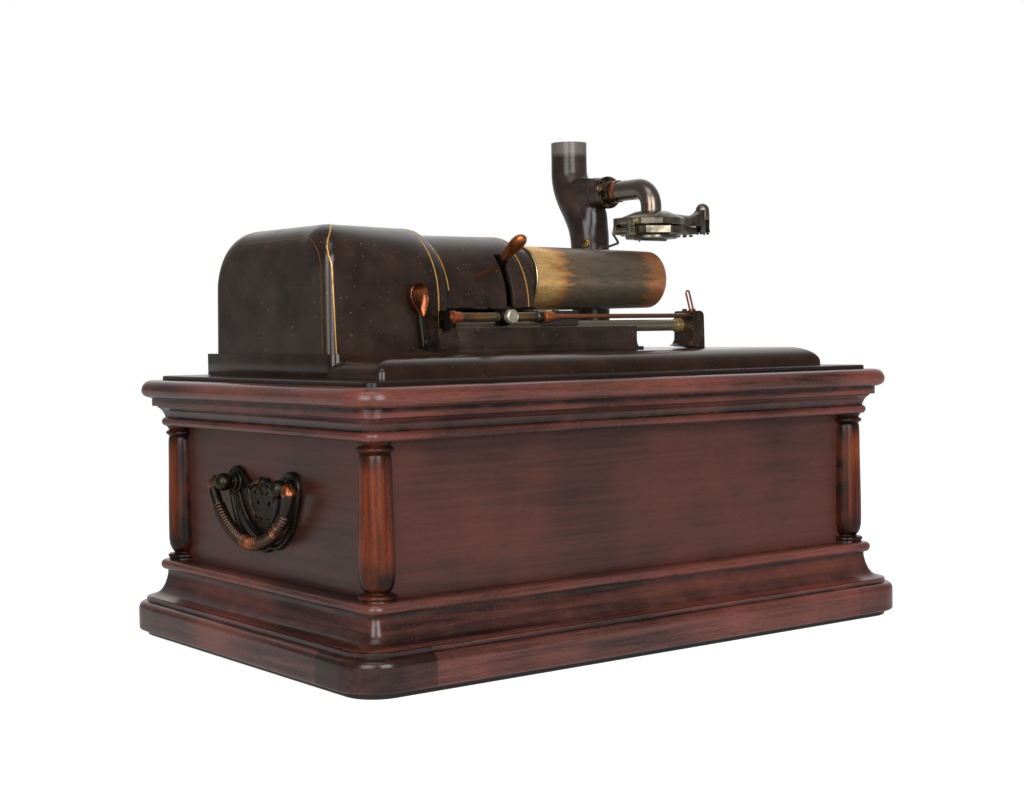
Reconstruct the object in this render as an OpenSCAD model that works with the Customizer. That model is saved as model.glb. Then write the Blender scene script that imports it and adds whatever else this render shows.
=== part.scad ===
// Cylinder phonograph with a travelling mandrel: wooden case, bedplate works, sound arm and spring motor.
// Millimetres, Z up, front toward -Y. Origin at the middle of the underside.

/* [Case] */
// Width of the panel box
body_w = 402; // [400:0.5:406]
// Depth of the panel box
body_d = 250; // [249:0.5:256]
// Thickness of the case panels
panel_t = 12; // [9:0.5:13]
// How far the plinth stands out from the panels
plinth_out = 31; // [29:0.5:33]
// How far the nosing stands out from the panels
nosing_out = 26; // [24:0.5:27]
// Radius of the corner columns at their swell
column_r = 10.7; // [9.8:0.1:11]
// Height of the recessed foot frame
foot_h = 4; // [3:0.5:4]

/* [Handles] */
// Distance between the two posts of a handle
post_gap = 73; // [71:0.5:75]
// Radius of the ball on a handle post
post_ball_r = 6.5; // [6:0.1:7]
// Radius of the bail in its middle
bail_r = 4.6; // [4:0.1:5]

/* [Bedplate] */
// Width of the bedplate
bed_w = 381.6; // [380:0.2:383]
// Depth of the bedplate
bed_d = 220; // [219:0.5:221]
// Thickness of the bedplate
bed_t = 13.5; // [13:0.1:13.8]
// Wall of the gear cover and the hood
shell_t = 3; // [2.5:0.1:3.4]
// Outer radius of the mandrel hood
hood_r = 49; // [48.6:0.1:49.4]
// Radius of the guide rod
rod_r = 4.1; // [3.8:0.1:4.3]

/* [Mandrel] */
// Radius of the mandrel at the hood
mandrel_big_r = 23.1; // [22.8:0.1:23.3]
// Radius of the mandrel at its free end
mandrel_small_r = 21.1; // [20.6:0.1:21.4]
// Length of the mandrel
mandrel_len = 124; // [122:0.5:125]
// Radius of the mandrel shaft
shaft_r = 6; // [5.7:0.1:6]
// Radial running clearance of the bearings
run_gap = 0.05; // [0.03:0.01:0.08]

/* [Sound arm] */
// Outer radius of the horn socket
horn_r = 13.6; // [13.2:0.1:14]
// Inner radius of the horn socket
horn_bore_r = 11.5; // [11:0.1:11.8]
// Radius of the sound tube
tube_r = 7.7; // [7.4:0.1:7.9]
// Half width of the reproducer body over its corners
repro_r = 25.6; // [25.2:0.2:26]
// Radius of the diaphragm
diaphragm_r = 21; // [20:0.2:21.4]

/* [Motor] */
// Thickness of the motor plates
plate_t = 4; // [3.5:0.1:4.4]
// Radius of the spring barrel
barrel_r = 40; // [39:0.2:41]
// Radius of the pulley on the drive sleeve
sleeve_pulley_r = 18; // [17.6:0.1:18.2]
// Radius of the motor pulley
motor_pulley_r = 24; // [23.6:0.1:24.4]

/* [Hidden] */
$fn = 64;
corner_c = 4.2;
seat_in = 22;
plinth_top = 26.5;
moulding_top = 52.1;
cornice_z = 145.2;
panel_top = 159.3;
frame_top = 177;
bed_z = 180;
bed_top = bed_z + bed_t;
bed_round = 11;
bed_x = 3.2;
sill_top = bed_z + 15;
sill_x = -92;
sill_front = -56;
axis_z = 244.8;
cover_x0 = -184.3;
cover_x1 = -92;
cover_front_y = -3;
cover_front_r = 42;
cover_front_z = 235.7;
cover_back_y = 70;
cover_back_r = 38;
cover_top = cover_front_z + cover_front_r;
cover_back_z = cover_top - cover_back_r;
cover_end_r = 7;
hood_y = 10.5;
hood_z = 225;
hood_x1 = -15;
hood_low = 222.6;
slot_x0 = -39;
slot_x1 = -33;
rod_y = -44.5;
rod_z = 210.4;
rail_top = 210;
rail_front = -55;
rail_x0 = -106;
rail_x1 = 63;
post_x0 = 114;
post_x1 = 124.5;
post_top = 220.6;
stop_y = -55;
stop_z = 217.2;
shoe_x1 = 14;
sleeve_r = 10;
sleeve_x0 = -128;
sleeve_x1 = -58;
pulley_x0 = -112;
pulley_x1 = -100;
belt_x0 = -109.5;
belt_x1 = -102.5;
belt_t = 1.6;
belt_gap = 0.3;
horn_x = 125;
stem_y = 70;
stem_r = 14.9;
socket_y = 95;
horn_top = 356;
horn_deep = 30;
tube_z = axis_z + 68.8;
tube_bend = 14;
repro_y = -2;
repro_z1 = tube_z - 19.3;
repro_z0 = repro_z1 - 9;
hinge_x = 98;
knob_out = 52.7;
hinge_z = repro_z0 - 4.4;
handle_y = 6.7;
handle_z = 111.6;
handle_out = 11;
lever_angle = 143;
drive_y = 0;
drive_z = 128;
barrel_y = body_d / 2 - 63;
barrel_z = 95;
motor_back = body_d / 2 - 25;
gov_y = -28;
gov_z = 143.492;
arbor_r = 5;
train_r = 4;
gov_r = 2.5;
plate_l = -94;
plate_r = 24;
great_n = 60;
great_m = 1.5;
pinion_n = 16;
wheel_n = 48;
second_m = 1.25;
gov_m = 1;
great_c = great_m * (great_n + pinion_n) / 2;
second_c = second_m * (wheel_n + pinion_n) / 2;
train_run = [barrel_y - drive_y, barrel_z - drive_z];
train_dir = train_run / norm(train_run);
train_a = (second_c * second_c - great_c * great_c + train_run * train_run) / 2 / norm(train_run);
train_h = sqrt(second_c * second_c - train_a * train_a);
second_y = drive_y + train_a * train_dir[0] + train_h * train_dir[1];
second_z = drive_z + train_a * train_dir[1] - train_h * train_dir[0];

function arc(cx, cz, r, a0, a1, n) =
    [for (i = [0:n]) [cx + r * cos(a0 + (a1 - a0) * i / n), cz + r * sin(a0 + (a1 - a0) * i / n)]];

// Involute gear outline, one tooth centred on angle 0; the tooth is thinned by play for backlash
function inv_angle(rb, r) = r <= rb ? 0 : (sqrt(r * r / rb / rb - 1) * 180 / PI - acos(rb / r));
function flank(m, n, r, play) =
    let(rp = m * n / 2, rb = rp * cos(20))
    90 / n - play / rp * 90 / PI + inv_angle(rb, rp) - inv_angle(rb, r);
function gear_pts(m, n, play) =
    let(rp = m * n / 2, ra = rp + 0.8 * m, rf = rp - 1.1 * m, rm = rp - 0.25 * m)
    [for (i = [0:n - 1]) for (k = [[rf, -1], [rm, -1], [rp + 0.3 * m, -1], [ra, -1],
        [ra, 1], [rp + 0.3 * m, 1], [rm, 1], [rf, 1]])
        let(a = 360 * i / n + k[1] * flank(m, n, k[0], play)) [k[0] * cos(a), k[0] * sin(a)]];
function line_angle(y0, z0, y1, z1) = atan2(z1 - z0, y1 - y0);
function mesh_phase(theta, phase, na, nb) = theta + 180 - (0.5 - (theta - phase) * na / 360) * 360 / nb;

great_phase = 0;
second_pinion_phase = mesh_phase(line_angle(barrel_y, barrel_z, second_y, second_z), great_phase,
    great_n, pinion_n);
drive_pinion_phase = mesh_phase(line_angle(second_y, second_z, drive_y, drive_z), 0, wheel_n, pinion_n);
gov_pinion_phase = mesh_phase(line_angle(drive_y, drive_z, gov_y, gov_z), 0, wheel_n, pinion_n);

module gear(m, n, x0, x1, phase) {
    translate([x0, 0, 0])
        rotate([90, 0, 90])
            linear_extrude(x1 - x0)
                rotate(phase)
                    polygon(gear_pts(m, n, 0.24 * m));
}

module along_x(r, x0, x1) {
    translate([x0, 0, 0])
        rotate([0, 90, 0])
            cylinder(r = r, h = x1 - x0);
}

module along_y(r, y0, y1) {
    translate([0, y0, 0])
        rotate([-90, 0, 0])
            cylinder(r = r, h = y1 - y0);
}

// Moulding carried round the case; pts run from the corner centre outward, back is the inner face
module moulding(pts, back) {
    low = pts[0][1];
    high = pts[len(pts) - 1][1];
    for (k = [0:3]) {
        half = k % 2 == 0 ? body_w / 2 : body_d / 2;
        run = (k % 2 == 0 ? body_d : body_w) + 2 * corner_c;
        rotate([0, 0, 90 * k])
            translate([half, run / 2, 0])
                rotate([90, 0, 0])
                    linear_extrude(run)
                        polygon(concat([[back, low]], pts, [[back, high]]));
        rotate([0, 0, 90 * k])
            translate([half + corner_c, run / 2, 0])
                rotate_extrude(angle = 90)
                    translate([-corner_c, 0])
                        polygon(pts);
    }
}

module foot_frame() {
    color("#2a1a16")
        moulding([[corner_c, 0], [plinth_out - 6, 0], [plinth_out - 6, foot_h], [corner_c, foot_h]], -panel_t);
}

module plinth_frame() {
    edge = plinth_out - 4.8;
    color("#3f1714")
        moulding(concat([[corner_c, foot_h], [plinth_out, foot_h]], arc(edge, 18.7, 4.8, 0, 90, 6),
            [[edge - 0.8, 23.9], [edge - 0.8, plinth_top], [corner_c, plinth_top]]), 0);
}

module base_moulding() {
    color("#4a1b17")
        moulding(concat([[corner_c, plinth_top], [24, plinth_top], [20.1, 27.9], [16.6, 29.7], [13.7, 33.2],
            [11.7, 37.9], [10.6, 42.4], [10.6, 45.1]], arc(11.6, 48.6, 3.5, -90, 90, 10),
            [[corner_c, moulding_top]]), 0);
}

module front_panel() {
    color("#3b1613")
        translate([-body_w / 2, -body_d / 2, foot_h])
            cube([body_w, panel_t, panel_top - foot_h]);
}

module back_panel() {
    color("#3b1613")
        translate([-body_w / 2, body_d / 2 - panel_t, foot_h])
            cube([body_w, panel_t, panel_top - foot_h]);
}

module side_panel() {
    translate([0, panel_t - body_d / 2, foot_h])
        cube([panel_t, body_d - 2 * panel_t, panel_top - foot_h]);
}

module left_panel() {
    color("#3b1613")
        translate([-body_w / 2, 0, 0])
            side_panel();
}

module right_panel() {
    color("#3b1613")
        difference() {
            translate([body_w / 2 - panel_t, 0, 0])
                side_panel();
            translate([0, barrel_y, barrel_z])
                along_x(arbor_r + 3, body_w / 2 - panel_t - 1, body_w / 2 + 1);
        }
}

// Turned columns, notched to stand round the corners of the panel box
module corner_columns() {
    low = moulding_top;
    high = cornice_z;
    color("#8a3a1c")
        difference() {
            for (x = [-body_w / 2, body_w / 2], y = [-body_d / 2, body_d / 2])
                translate([x, y, 0])
                    rotate_extrude()
                        polygon(concat([[0, low], [column_r + 0.2, low]],
                            arc(column_r - 0.8, low + 2.6, 1.3, -60, 70, 5),
                            [[column_r - 2.2, low + 5.2], [column_r - 0.7, low + 9], [column_r, low + 14],
                            [column_r - 0.2, low + 34], [column_r - 0.8, low + 62], [column_r - 1.1, high - 10],
                            [column_r - 2.2, high - 7.4]],
                            arc(column_r - 0.9, high - 4, 1.2, -70, 60, 5),
                            [[column_r, high], [0, high]]));
            translate([-body_w / 2, -body_d / 2, low - 1])
                cube([body_w, body_d, high - low + 2]);
        }
}

module cornice_moulding() {
    color("#451915")
        moulding(concat([[corner_c, cornice_z]], arc(9.5, cornice_z + 3, 3, -90, 60, 8),
            [[10, cornice_z + 6.2], [10.8, 153.5], [12.3, 156], [15.2, 158.4], [15.2, panel_top],
            [corner_c, panel_top]]), 0);
}

module top_frame() {
    n = nosing_out;
    color("#4d1c18")
        moulding([[corner_c, panel_top], [n - 7, panel_top], [n - 7, 164.6], [n - 4.7, 165.2], [n - 2, 166.3],
            [n - 0.5, 168], [n, 170], [n - 0.3, 172], [n - 1.4, 174.3], [n - 3.5, 176.2], [n - 6, frame_top],
            [corner_c, frame_top]], -seat_in);
}

module top_strip() {
    color("#231411")
        moulding([[corner_c, frame_top], [11.2, frame_top], [11.2, bed_z - 0.7], [10.5, bed_z],
            [corner_c, bed_z]], -seat_in);
}

// Pierced plate of a bail handle, drawn for the left end
module handle_plate() {
    half = post_gap / 2;
    translate([-body_w / 2, handle_y, 0])
        rotate([90, 0, -90])
            linear_extrude(2.5)
                difference() {
                    union() {
                        for (s = [-1, 1]) {
                            translate([s * half, handle_z - 1])
                                circle(10);
                            translate([s * (half - 9), handle_z - 13])
                                circle(10.5);
                            translate([s * 17, handle_z - 25])
                                circle(12);
                            translate([s * 13, handle_z + 3])
                                circle(6.5);
                        }
                        translate([0, handle_z + 5])
                            circle(7.2);
                        translate([0, handle_z - 34])
                            circle(9.5);
                        translate([-24, handle_z - 22])
                            square([48, 19]);
                    }
                    for (s = [-1, 1]) {
                        translate([s * 13, handle_z - 8])
                            circle(4.2);
                        translate([s * 24, handle_z - 17])
                            circle(3.4);
                        translate([s * 9, handle_z - 25])
                            circle(3.2);
                    }
                }
}

module handle_plates() {
    color("#3a2a22") {
        handle_plate();
        mirror([1, 0, 0])
            handle_plate();
    }
}

module handle_post_pair() {
    for (s = [-1, 1])
        translate([-body_w / 2, handle_y + s * post_gap / 2, handle_z])
            difference() {
                rotate([0, -90, 0])
                    rotate_extrude()
                        polygon(concat([[0, 2.5], [6, 2.5], [6, 4.2], [4, 4.2]],
                            arc(0, handle_out, post_ball_r, -50, 90, 14)));
                translate([-handle_out, 0, 0])
                    along_y(2.5 + run_gap, s > 0 ? 1 : -9, s > 0 ? 9 : -1);
            }
}

module handle_posts() {
    color("#4a3226") {
        handle_post_pair();
        mirror([1, 0, 0])
            handle_post_pair();
    }
}

// Bail of the left end in its own plane, hung from the post balls
module bail() {
    end_y = post_gap / 2 + 9.3;
    side = end_y - 0.3;
    small = 5;
    drop = 37.1;
    big = (side * side + drop * drop - 2 * small * drop) / 2 / (drop - 2 * small);
    swing = atan2(side, big - drop + small);
    translate([-body_w / 2 - handle_out, handle_y, handle_z]) {
        for (s = [-1, 1]) {
            along_y(2.5, s > 0 ? post_gap / 2 + 1.5 : -end_y, s > 0 ? end_y : -post_gap / 2 - 1.5);
            translate([0, s * side, -small])
                rotate([90, 0, 90])
                    mirror([s > 0 ? 0 : 1, 0, 0])
                        rotate([0, 0, swing - 90])
                            rotate_extrude(angle = 180 - swing)
                                translate([small, 0])
                                    circle(3.9);
        }
        translate([0, 0, big - drop])
            rotate([90, 0, 90])
                rotate([0, 0, 270 - swing])
                    rotate_extrude(angle = 2 * swing, $fn = 96)
                        translate([big, 0])
                            circle(bail_r);
    }
}

module bail_left() {
    color("#4a3226")
        bail();
}

module bail_right() {
    color("#4a3226")
        mirror([1, 0, 0])
            bail();
}

module bedplate() {
    rx = bed_w / 2 - bed_round;
    ry = bed_d / 2 - bed_round;
    edge = concat([[0, bed_z], [bed_round, bed_z]], arc(0, bed_top - bed_round, bed_round, 0, 90, 8));
    color("#1d1614")
        difference() {
            union() {
                translate([bed_x, 0, 0]) {
                    translate([-rx, -ry, bed_z])
                        cube([2 * rx, 2 * ry, bed_t]);
                    for (k = [0:3]) {
                        half = k % 2 == 0 ? rx : ry;
                        side = k % 2 == 0 ? ry : rx;
                        rotate([0, 0, 90 * k])
                            translate([half, side, 0])
                                rotate([90, 0, 0])
                                    linear_extrude(2 * side)
                                        polygon(edge);
                        rotate([0, 0, 90 * k])
                            translate([half, side, 0])
                                rotate_extrude(angle = 90)
                                    polygon(edge);
                    }
                }
                translate([bed_x - bed_w / 2, sill_front, bed_z])
                    cube([bed_w / 2 - bed_x + sill_x, bed_d / 2 - sill_front, sill_top - bed_z]);
            }
            translate([pulley_x0 - 4, -32, bed_z - 1])
                cube([pulley_x1 - pulley_x0 + 8, 64, 20]);
        }
}

module cover_profile(inset, low) {
    intersection() {
        union() {
            translate([cover_front_y, cover_front_z])
                circle(cover_front_r - inset, $fn = 96);
            translate([cover_back_y, cover_back_z])
                circle(cover_back_r - inset, $fn = 96);
            translate([cover_front_y, 180])
                square([cover_back_y - cover_front_y, cover_top - inset - 180]);
            translate([cover_front_y - cover_front_r + inset, 180])
                square([cover_front_r - inset, cover_front_z - 180]);
            translate([cover_back_y, 180])
                square([cover_back_r - inset, cover_back_z - 180]);
        }
        translate([-100, low])
            square([300, 200]);
    }
}

// Cover body with its left end rounded in plan and in elevation
module cover_solid(inset, low, x1) {
    x0 = cover_x0 + inset;
    r = cover_end_r - inset;
    y0 = cover_front_y - cover_front_r + inset;
    y1 = cover_back_y + cover_back_r - inset;
    top = cover_top - inset;
    difference() {
        intersection() {
            translate([x0, 0, 0])
                rotate([90, 0, 90])
                    linear_extrude(x1 - x0)
                        cover_profile(inset, low);
            translate([0, 0, 170])
                linear_extrude(130) {
                    translate([x0 + r, y0])
                        square([x1 - x0 - r, y1 - y0]);
                    translate([x0, y0 + r])
                        square([r + 1, y1 - y0 - 2 * r]);
                    translate([x0 + r, y0 + r])
                        circle(r);
                    translate([x0 + r, y1 - r])
                        circle(r);
                }
        }
        translate([0, 150, 0])
            rotate([90, 0, 0])
                linear_extrude(300)
                    difference() {
                        translate([x0 - 5, top - r])
                            square([r + 5, r + 5]);
                        translate([x0 + r, top - r])
                            circle(r + 0.5);
                    }
    }
}

module gear_cover() {
    color("#241a17")
        difference() {
            cover_solid(0, sill_top, cover_x1);
            cover_solid(shell_t, sill_top - 5, cover_x1 - shell_t);
            translate([0, hood_y, hood_z])
                along_x(hood_r - shell_t, cover_x1 - shell_t - 1, cover_x1 + 1);
            translate([cover_x1 - shell_t - 1, -24, sill_top - 5])
                cube([shell_t + 2, 60, 30]);
        }
}

module mandrel_hood() {
    inner = hood_r - shell_t;
    color("#241a17")
        difference() {
            translate([cover_x1, 0, 0])
                rotate([90, 0, 90])
                    linear_extrude(hood_x1 - cover_x1)
                        difference() {
                            union() {
                                intersection() {
                                    translate([hood_y, hood_z])
                                        circle(hood_r, $fn = 96);
                                    translate([-100, hood_low])
                                        square([200, 100]);
                                }
                                translate([hood_y, bed_top])
                                    square([hood_r, hood_z - bed_top]);
                            }
                            translate([hood_y, hood_z])
                                circle(inner, $fn = 96);
                            translate([hood_y - inner, bed_top - 1])
                                square([2 * inner, hood_z - bed_top + 1]);
                        }
            translate([slot_x0, hood_y - hood_r - 5, hood_low - 5])
                cube([slot_x1 - slot_x0, hood_r, 42.5]);
        }
}

module front_rail() {
    rail_back = -38.2;
    color("#1f1715")
        difference() {
            union() {
                translate([cover_x1 + 0.2, rail_back, 0])
                    rotate([90, 0, 0])
                        linear_extrude(rail_back - rail_front)
                            polygon(concat([[0, bed_top], [0, rail_top], [rail_x1 - cover_x1 - 0.2, rail_top],
                                [rail_x1 - cover_x1 - 0.2, bed_top + 7]],
                                arc(rail_x1 - cover_x1 + 6.8, bed_top + 7, 7, 180, 270, 6)));
                translate([rail_x0, rail_front, sill_top])
                    cube([cover_x1 - rail_x0 + 0.2, cover_front_y - cover_front_r - 0.2 - rail_front,
                        rail_top - sill_top]);
                translate([rail_x0 + 1.8, stop_y - 3.4, rail_top - 5])
                    cube([4.2, 6.8, stop_z + 4.4 - rail_top + 5]);
            }
            translate([0, rod_y, rod_z])
                along_x(rod_r, rail_x0 + 18, rail_x1 + 20);
            translate([0, stop_y, stop_z])
                along_x(2.4 + run_gap, rail_x0 - 1, rail_x0 + 7);
        }
}

module end_post() {
    front = stop_y - 3.6;
    back = -38;
    color("#1f1715")
        difference() {
            union() {
                translate([0, back, 0])
                    rotate([90, 0, 0])
                        linear_extrude(back - front)
                            polygon(concat([[post_x1 + 0.6, bed_top]], arc(post_x1 - 4, post_top - 4, 4, 0, 90, 6),
                                [[post_x0, post_top], [post_x0, bed_top + 8]],
                                arc(post_x0 - 6, bed_top + 8, 6, 0, -90, 6), [[post_x0 - 6, bed_top]]));
            }
            translate([0, rod_y, rod_z])
                along_x(rod_r, post_x0 - 1, post_x1 - 2.5);
            translate([0, stop_y, stop_z])
                along_x(1.6 + run_gap, post_x0 - 1, post_x1 - 3);
        }
}

module guide_rod() {
    color("#9a9488")
        translate([0, rod_y, rod_z])
            along_x(rod_r, rail_x0 + 18, post_x1 - 2.5);
}

// Standing bearing bracket: x range, half width, bearing radius
module bracket(x0, x1, half, bore, foot_z) {
    difference() {
        union() {
            translate([x0, -half, foot_z])
                cube([x1 - x0, 2 * half, axis_z - foot_z]);
            translate([0, 0, axis_z])
                along_x(half, x0, x1);
            translate([x0 - 5, -half - 3, foot_z])
                cube([x1 - x0 + 10, 2 * half + 6, 6]);
        }
        translate([0, 0, axis_z])
            along_x(bore, x0 - 1, x1 + 1);
    }
}

module sleeve_bracket() {
    color("#2b2320")
        bracket(-126, -118, 16, sleeve_r + run_gap, sill_top);
}

module outer_bracket() {
    color("#2b2320")
        difference() {
            union() {
                bracket(-70, -62, 16, sleeve_r + run_gap, bed_top);
                translate([-70, 5, bed_top])
                    cube([8, 14, hood_z + 7 - bed_top]);
            }
            translate([0, 0, axis_z])
                along_x(sleeve_r + run_gap, -71, -61);
            translate([0, hood_y, hood_z])
                along_x(3, -66, -61);
        }
}

module hood_bracket() {
    color("#2b2320")
        difference() {
            union() {
                bracket(-27, -20, 13, shaft_r + run_gap, bed_top);
                translate([-27, 5, bed_top])
                    cube([7, 14, hood_z + 7 - bed_top]);
            }
            translate([0, 0, axis_z])
                along_x(shaft_r + run_gap, -28, -19);
            translate([0, hood_y, hood_z])
                along_x(3, -28, -23);
        }
}

// Sleeve that turns the mandrel shaft through a key, with its flat-belt pulley
module drive_sleeve() {
    color("#8f7440")
        translate([0, 0, axis_z])
            difference() {
                union() {
                    along_x(sleeve_r, sleeve_x0, sleeve_x1);
                    along_x(sleeve_pulley_r, pulley_x0, pulley_x1);
                    along_x(sleeve_pulley_r + 3.5, pulley_x0, pulley_x0 + 1.5);
                    along_x(sleeve_pulley_r + 3.5, pulley_x1 - 1.5, pulley_x1);
                    along_x(sleeve_r + 3, -73, -70.5);
                    along_x(sleeve_r + 3, -117.5, -115);
                }
                along_x(shaft_r + run_gap, sleeve_x0 - 1, sleeve_x1 + 1);
            }
}

// Closed belt path round both pulleys, grown outward by grow
function belt_pts(grow) =
    let(r1 = sleeve_pulley_r + belt_gap + grow, r2 = motor_pulley_r + belt_gap + grow,
        tilt = asin((r2 - r1) / (axis_z - drive_z)))
    concat(arc(0, axis_z, r1, tilt, 180 - tilt, 24), arc(0, drive_z, r2, 180 - tilt, 360 + tilt, 24));

module drive_belt() {
    color("#5a3a24")
        translate([belt_x0, drive_y, 0])
            rotate([90, 0, 90])
                linear_extrude(belt_x1 - belt_x0)
                    difference() {
                        polygon(belt_pts(belt_t));
                        polygon(belt_pts(0));
                    }
}

// Collar at the mandrel's inner end, arm, and the shoe that rides on the guide rod
module carriage() {
    shoe_back = -38.6;
    shoe_front = -50.2;
    color("#1c1513")
        difference() {
            union() {
                translate([0, 0, axis_z])
                    along_x(22.4, -13, -1.6);
                translate([-19, shoe_front, rail_top + 0.7])
                    cube([shoe_x1 + 19, shoe_back - shoe_front, 10.6]);
                translate([-13, 0, 0])
                    rotate([90, 0, 90])
                        linear_extrude(10)
                            polygon([[shoe_front + 0.2, rail_top + 2], [shoe_back, rail_top + 1.2],
                                [-16, rail_top + 2.4], [8, axis_z - 20.6], [8, axis_z - 9], [-12, axis_z - 9],
                                [-22, rail_top + 11.3], [shoe_front + 0.2, rail_top + 11.3]]);
            }
            translate([0, 0, axis_z])
                along_x(shaft_r + run_gap, -14, 0);
            translate([0, rod_y, rod_z])
                along_x(rod_r + run_gap, -20, shoe_x1 + 1);
        }
}

// Hollow tapered mandrel with a hub at each end
module mandrel() {
    x0 = -0.4;
    x1 = x0 + mandrel_len;
    wall = 3;
    color("#7a4a28")
        translate([x0, 0, axis_z])
            rotate([0, 90, 0])
                difference() {
                    rotate_extrude($fn = 96)
                        polygon(concat([[shaft_r, 0], [mandrel_big_r - 0.6, 0], [mandrel_big_r, 0.6],
                            [mandrel_small_r, mandrel_len - 2.4]],
                            arc(mandrel_small_r - 2.4, mandrel_len - 2.4, 2.4, 15, 90, 5),
                            [[mandrel_small_r - wall, mandrel_len], [mandrel_small_r - wall, mandrel_len - 6],
                            [shaft_r, mandrel_len - 6], [shaft_r, mandrel_len - 12],
                            [mandrel_small_r - wall, mandrel_len - 12], [mandrel_big_r - wall, 8],
                            [shaft_r, 8]]));
                    for (a = [0, 120, 240])
                        rotate([0, 0, a])
                            translate([12, 0, mandrel_len - 14])
                                cylinder(r = 4, h = 10);
                }
}

// Shaft with its feed thread shown as fine grooves
module mandrel_shaft() {
    color("#a8a296")
        translate([0, 0, axis_z])
            difference() {
                along_x(shaft_r, -178, 118);
                for (i = [0:9])
                    translate([-134 + i * 11, 0, 0])
                        rotate([0, 90, 0])
                            difference() {
                                cylinder(r = shaft_r + 1, h = 1);
                                translate([0, 0, -1])
                                    cylinder(r = shaft_r - 0.3, h = 3);
                            }
            }
}

// Feed lever arm; its notch is the half-nut face that meets the shaft
module feed_arm() {
    color("#1f1715")
        difference() {
            translate([slot_x0 + 0.6, hood_y, hood_z])
                rotate([lever_angle, 0, 0])
                    rotate([90, 0, 90])
                        linear_extrude(slot_x1 - slot_x0 - 1.2) {
                            circle(7.5);
                            translate([0, -4])
                                square([hood_r + 6, 8]);
                        }
            translate([0, hood_y, hood_z])
                along_x(3 + run_gap, slot_x0, slot_x1);
            translate([0, 0, axis_z])
                along_x(shaft_r + 0.35, slot_x0, slot_x1);
        }
}

module feed_knob() {
    color("#a4552c")
        translate([(slot_x0 + slot_x1) / 2, hood_y, hood_z])
            rotate([lever_angle, 0, 0])
                translate([0, hood_r + 6, 0])
                    rotate([-90, 0, 0])
                        rotate_extrude()
                            polygon(concat([[0, 0], [3.4, 0], [4.4, 2], [5.4, 7], [5.9, 13]],
                                arc(0, 18, 5.6, 20, 90, 6)));
}

module feed_pivot() {
    color("#a8a296")
        translate([0, hood_y, hood_z])
            along_x(3, -66, -23);
}

module start_lever() {
    color("#a4552c")
        translate([-113, -48.5, 201])
            rotate([0, -10.5, 0])
                difference() {
                    rotate([90, 0, 0])
                        linear_extrude(3.2) {
                            circle(4.6);
                            translate([-3, 0])
                                square([6, 24]);
                            translate([0, 28])
                                circle(7.4);
                            translate([0, 22])
                                circle(5.6);
                        }
                    along_y(2.2 + run_gap, -5, 2);
                }
}

module start_stud() {
    color("#3a2a22")
        translate([-113, 0, 201]) {
            along_y(2.2, -52.6, cover_front_y - cover_front_r);
            along_y(3.8, -54.2, -52.1);
            along_y(3.8, -48.1, cover_front_y - cover_front_r);
        }
}

// Auto-stop rod: thick slide tube on the left, thin wire rod on the right
module stop_rod() {
    color("#9c6a44")
        translate([0, stop_y, stop_z])
            rotate([0, 90, 0])
                rotate_extrude()
                    polygon([[0, -104], [2.4, -104], [2.4, -96.6], [4.6, -96], [4.2, -94.6], [3.1, -88.5], [3.1, -27],
                        [4, -26.6], [4, -22], [3.2, -21.6], [4.2, -20], [3.6, -14], [1.6, -9], [1.6, 119], [0, 119]]);
}

module stop_collar() {
    color("#3a302b")
        translate([0, stop_y, stop_z])
            difference() {
                union() {
                    along_x(5.6, -59, -50);
                    along_x(6.2, -57, -52);
                }
                along_x(3.1 + run_gap, -60, -49);
                translate([-54.5, 0, 0])
                    along_y(1.8 + run_gap, -8, -3);
            }
}

module stop_screw() {
    color("#d9d2c4")
        translate([-54.5, stop_y, stop_z]) {
            along_y(1.8, -8, -3.4);
            along_y(4.8, -11.4, -7);
        }
}

module trip_wire() {
    color("#a4552c")
        translate([117, stop_y + 1, post_top - 0.6])
            rotate([0, -17, 0]) {
                for (s = [-1, 1])
                    translate([s * 1.6, 0, 0])
                        cylinder(r = 0.7, h = 14);
                translate([0, 0, 14])
                    rotate([90, 0, 0])
                        rotate_extrude(angle = 180)
                            translate([1.6, 0])
                                circle(0.7);
                translate([0, 0, 0.1])
                    cylinder(r = 3, h = 1.6);
            }
}

// Pedestal: foot, stem, bent neck, horn socket and the forward branch for the sound tube
module horn_pedestal() {
    bend = 26;
    lean = 40;
    neck_r = 14.2;
    low_z = 277;
    run = (socket_y - stem_y - 2 * bend * (1 - cos(lean))) / sin(lean);
    neck_z = low_z + 2 * bend * sin(lean) + run * cos(lean);
    color("#2a211e")
        difference() {
            union() {
                translate([horn_x, stem_y, bed_top])
                    cylinder(r = stem_r + 5, h = 5);
                translate([horn_x, stem_y, bed_top])
                    cylinder(r = stem_r, h = low_z + 0.8 - bed_top);
                translate([horn_x, stem_y + bend, low_z])
                    rotate([90, 0, -90])
                        rotate_extrude(angle = lean)
                            translate([bend, 0])
                                circle(neck_r);
                translate([horn_x, stem_y + bend * (1 - cos(lean)), low_z + bend * sin(lean)])
                    rotate([-lean, 0, 0])
                        translate([0, 0, -0.8])
                            cylinder(r = neck_r - 0.25, h = run + 1.6);
                translate([horn_x, socket_y - bend, neck_z])
                    rotate([90, 0, 90])
                        rotate([0, 0, -lean])
                            rotate_extrude(angle = lean)
                                translate([bend, 0])
                                    circle(neck_r);
                translate([horn_x, socket_y, neck_z - 2])
                    cylinder(r = horn_r, h = horn_top - neck_z + 2);
                translate([horn_x, 0, tube_z])
                    along_y(10.4, 57, 88);
            }
            translate([horn_x, socket_y, horn_top - horn_deep])
                cylinder(r = horn_bore_r, h = horn_deep + 1);
            translate([horn_x, socket_y, tube_z])
                cylinder(r = 6, h = horn_top - horn_deep - tube_z + 1);
            translate([horn_x, 0, tube_z])
                along_y(5.5, 56, socket_y);
        }
}

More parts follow.
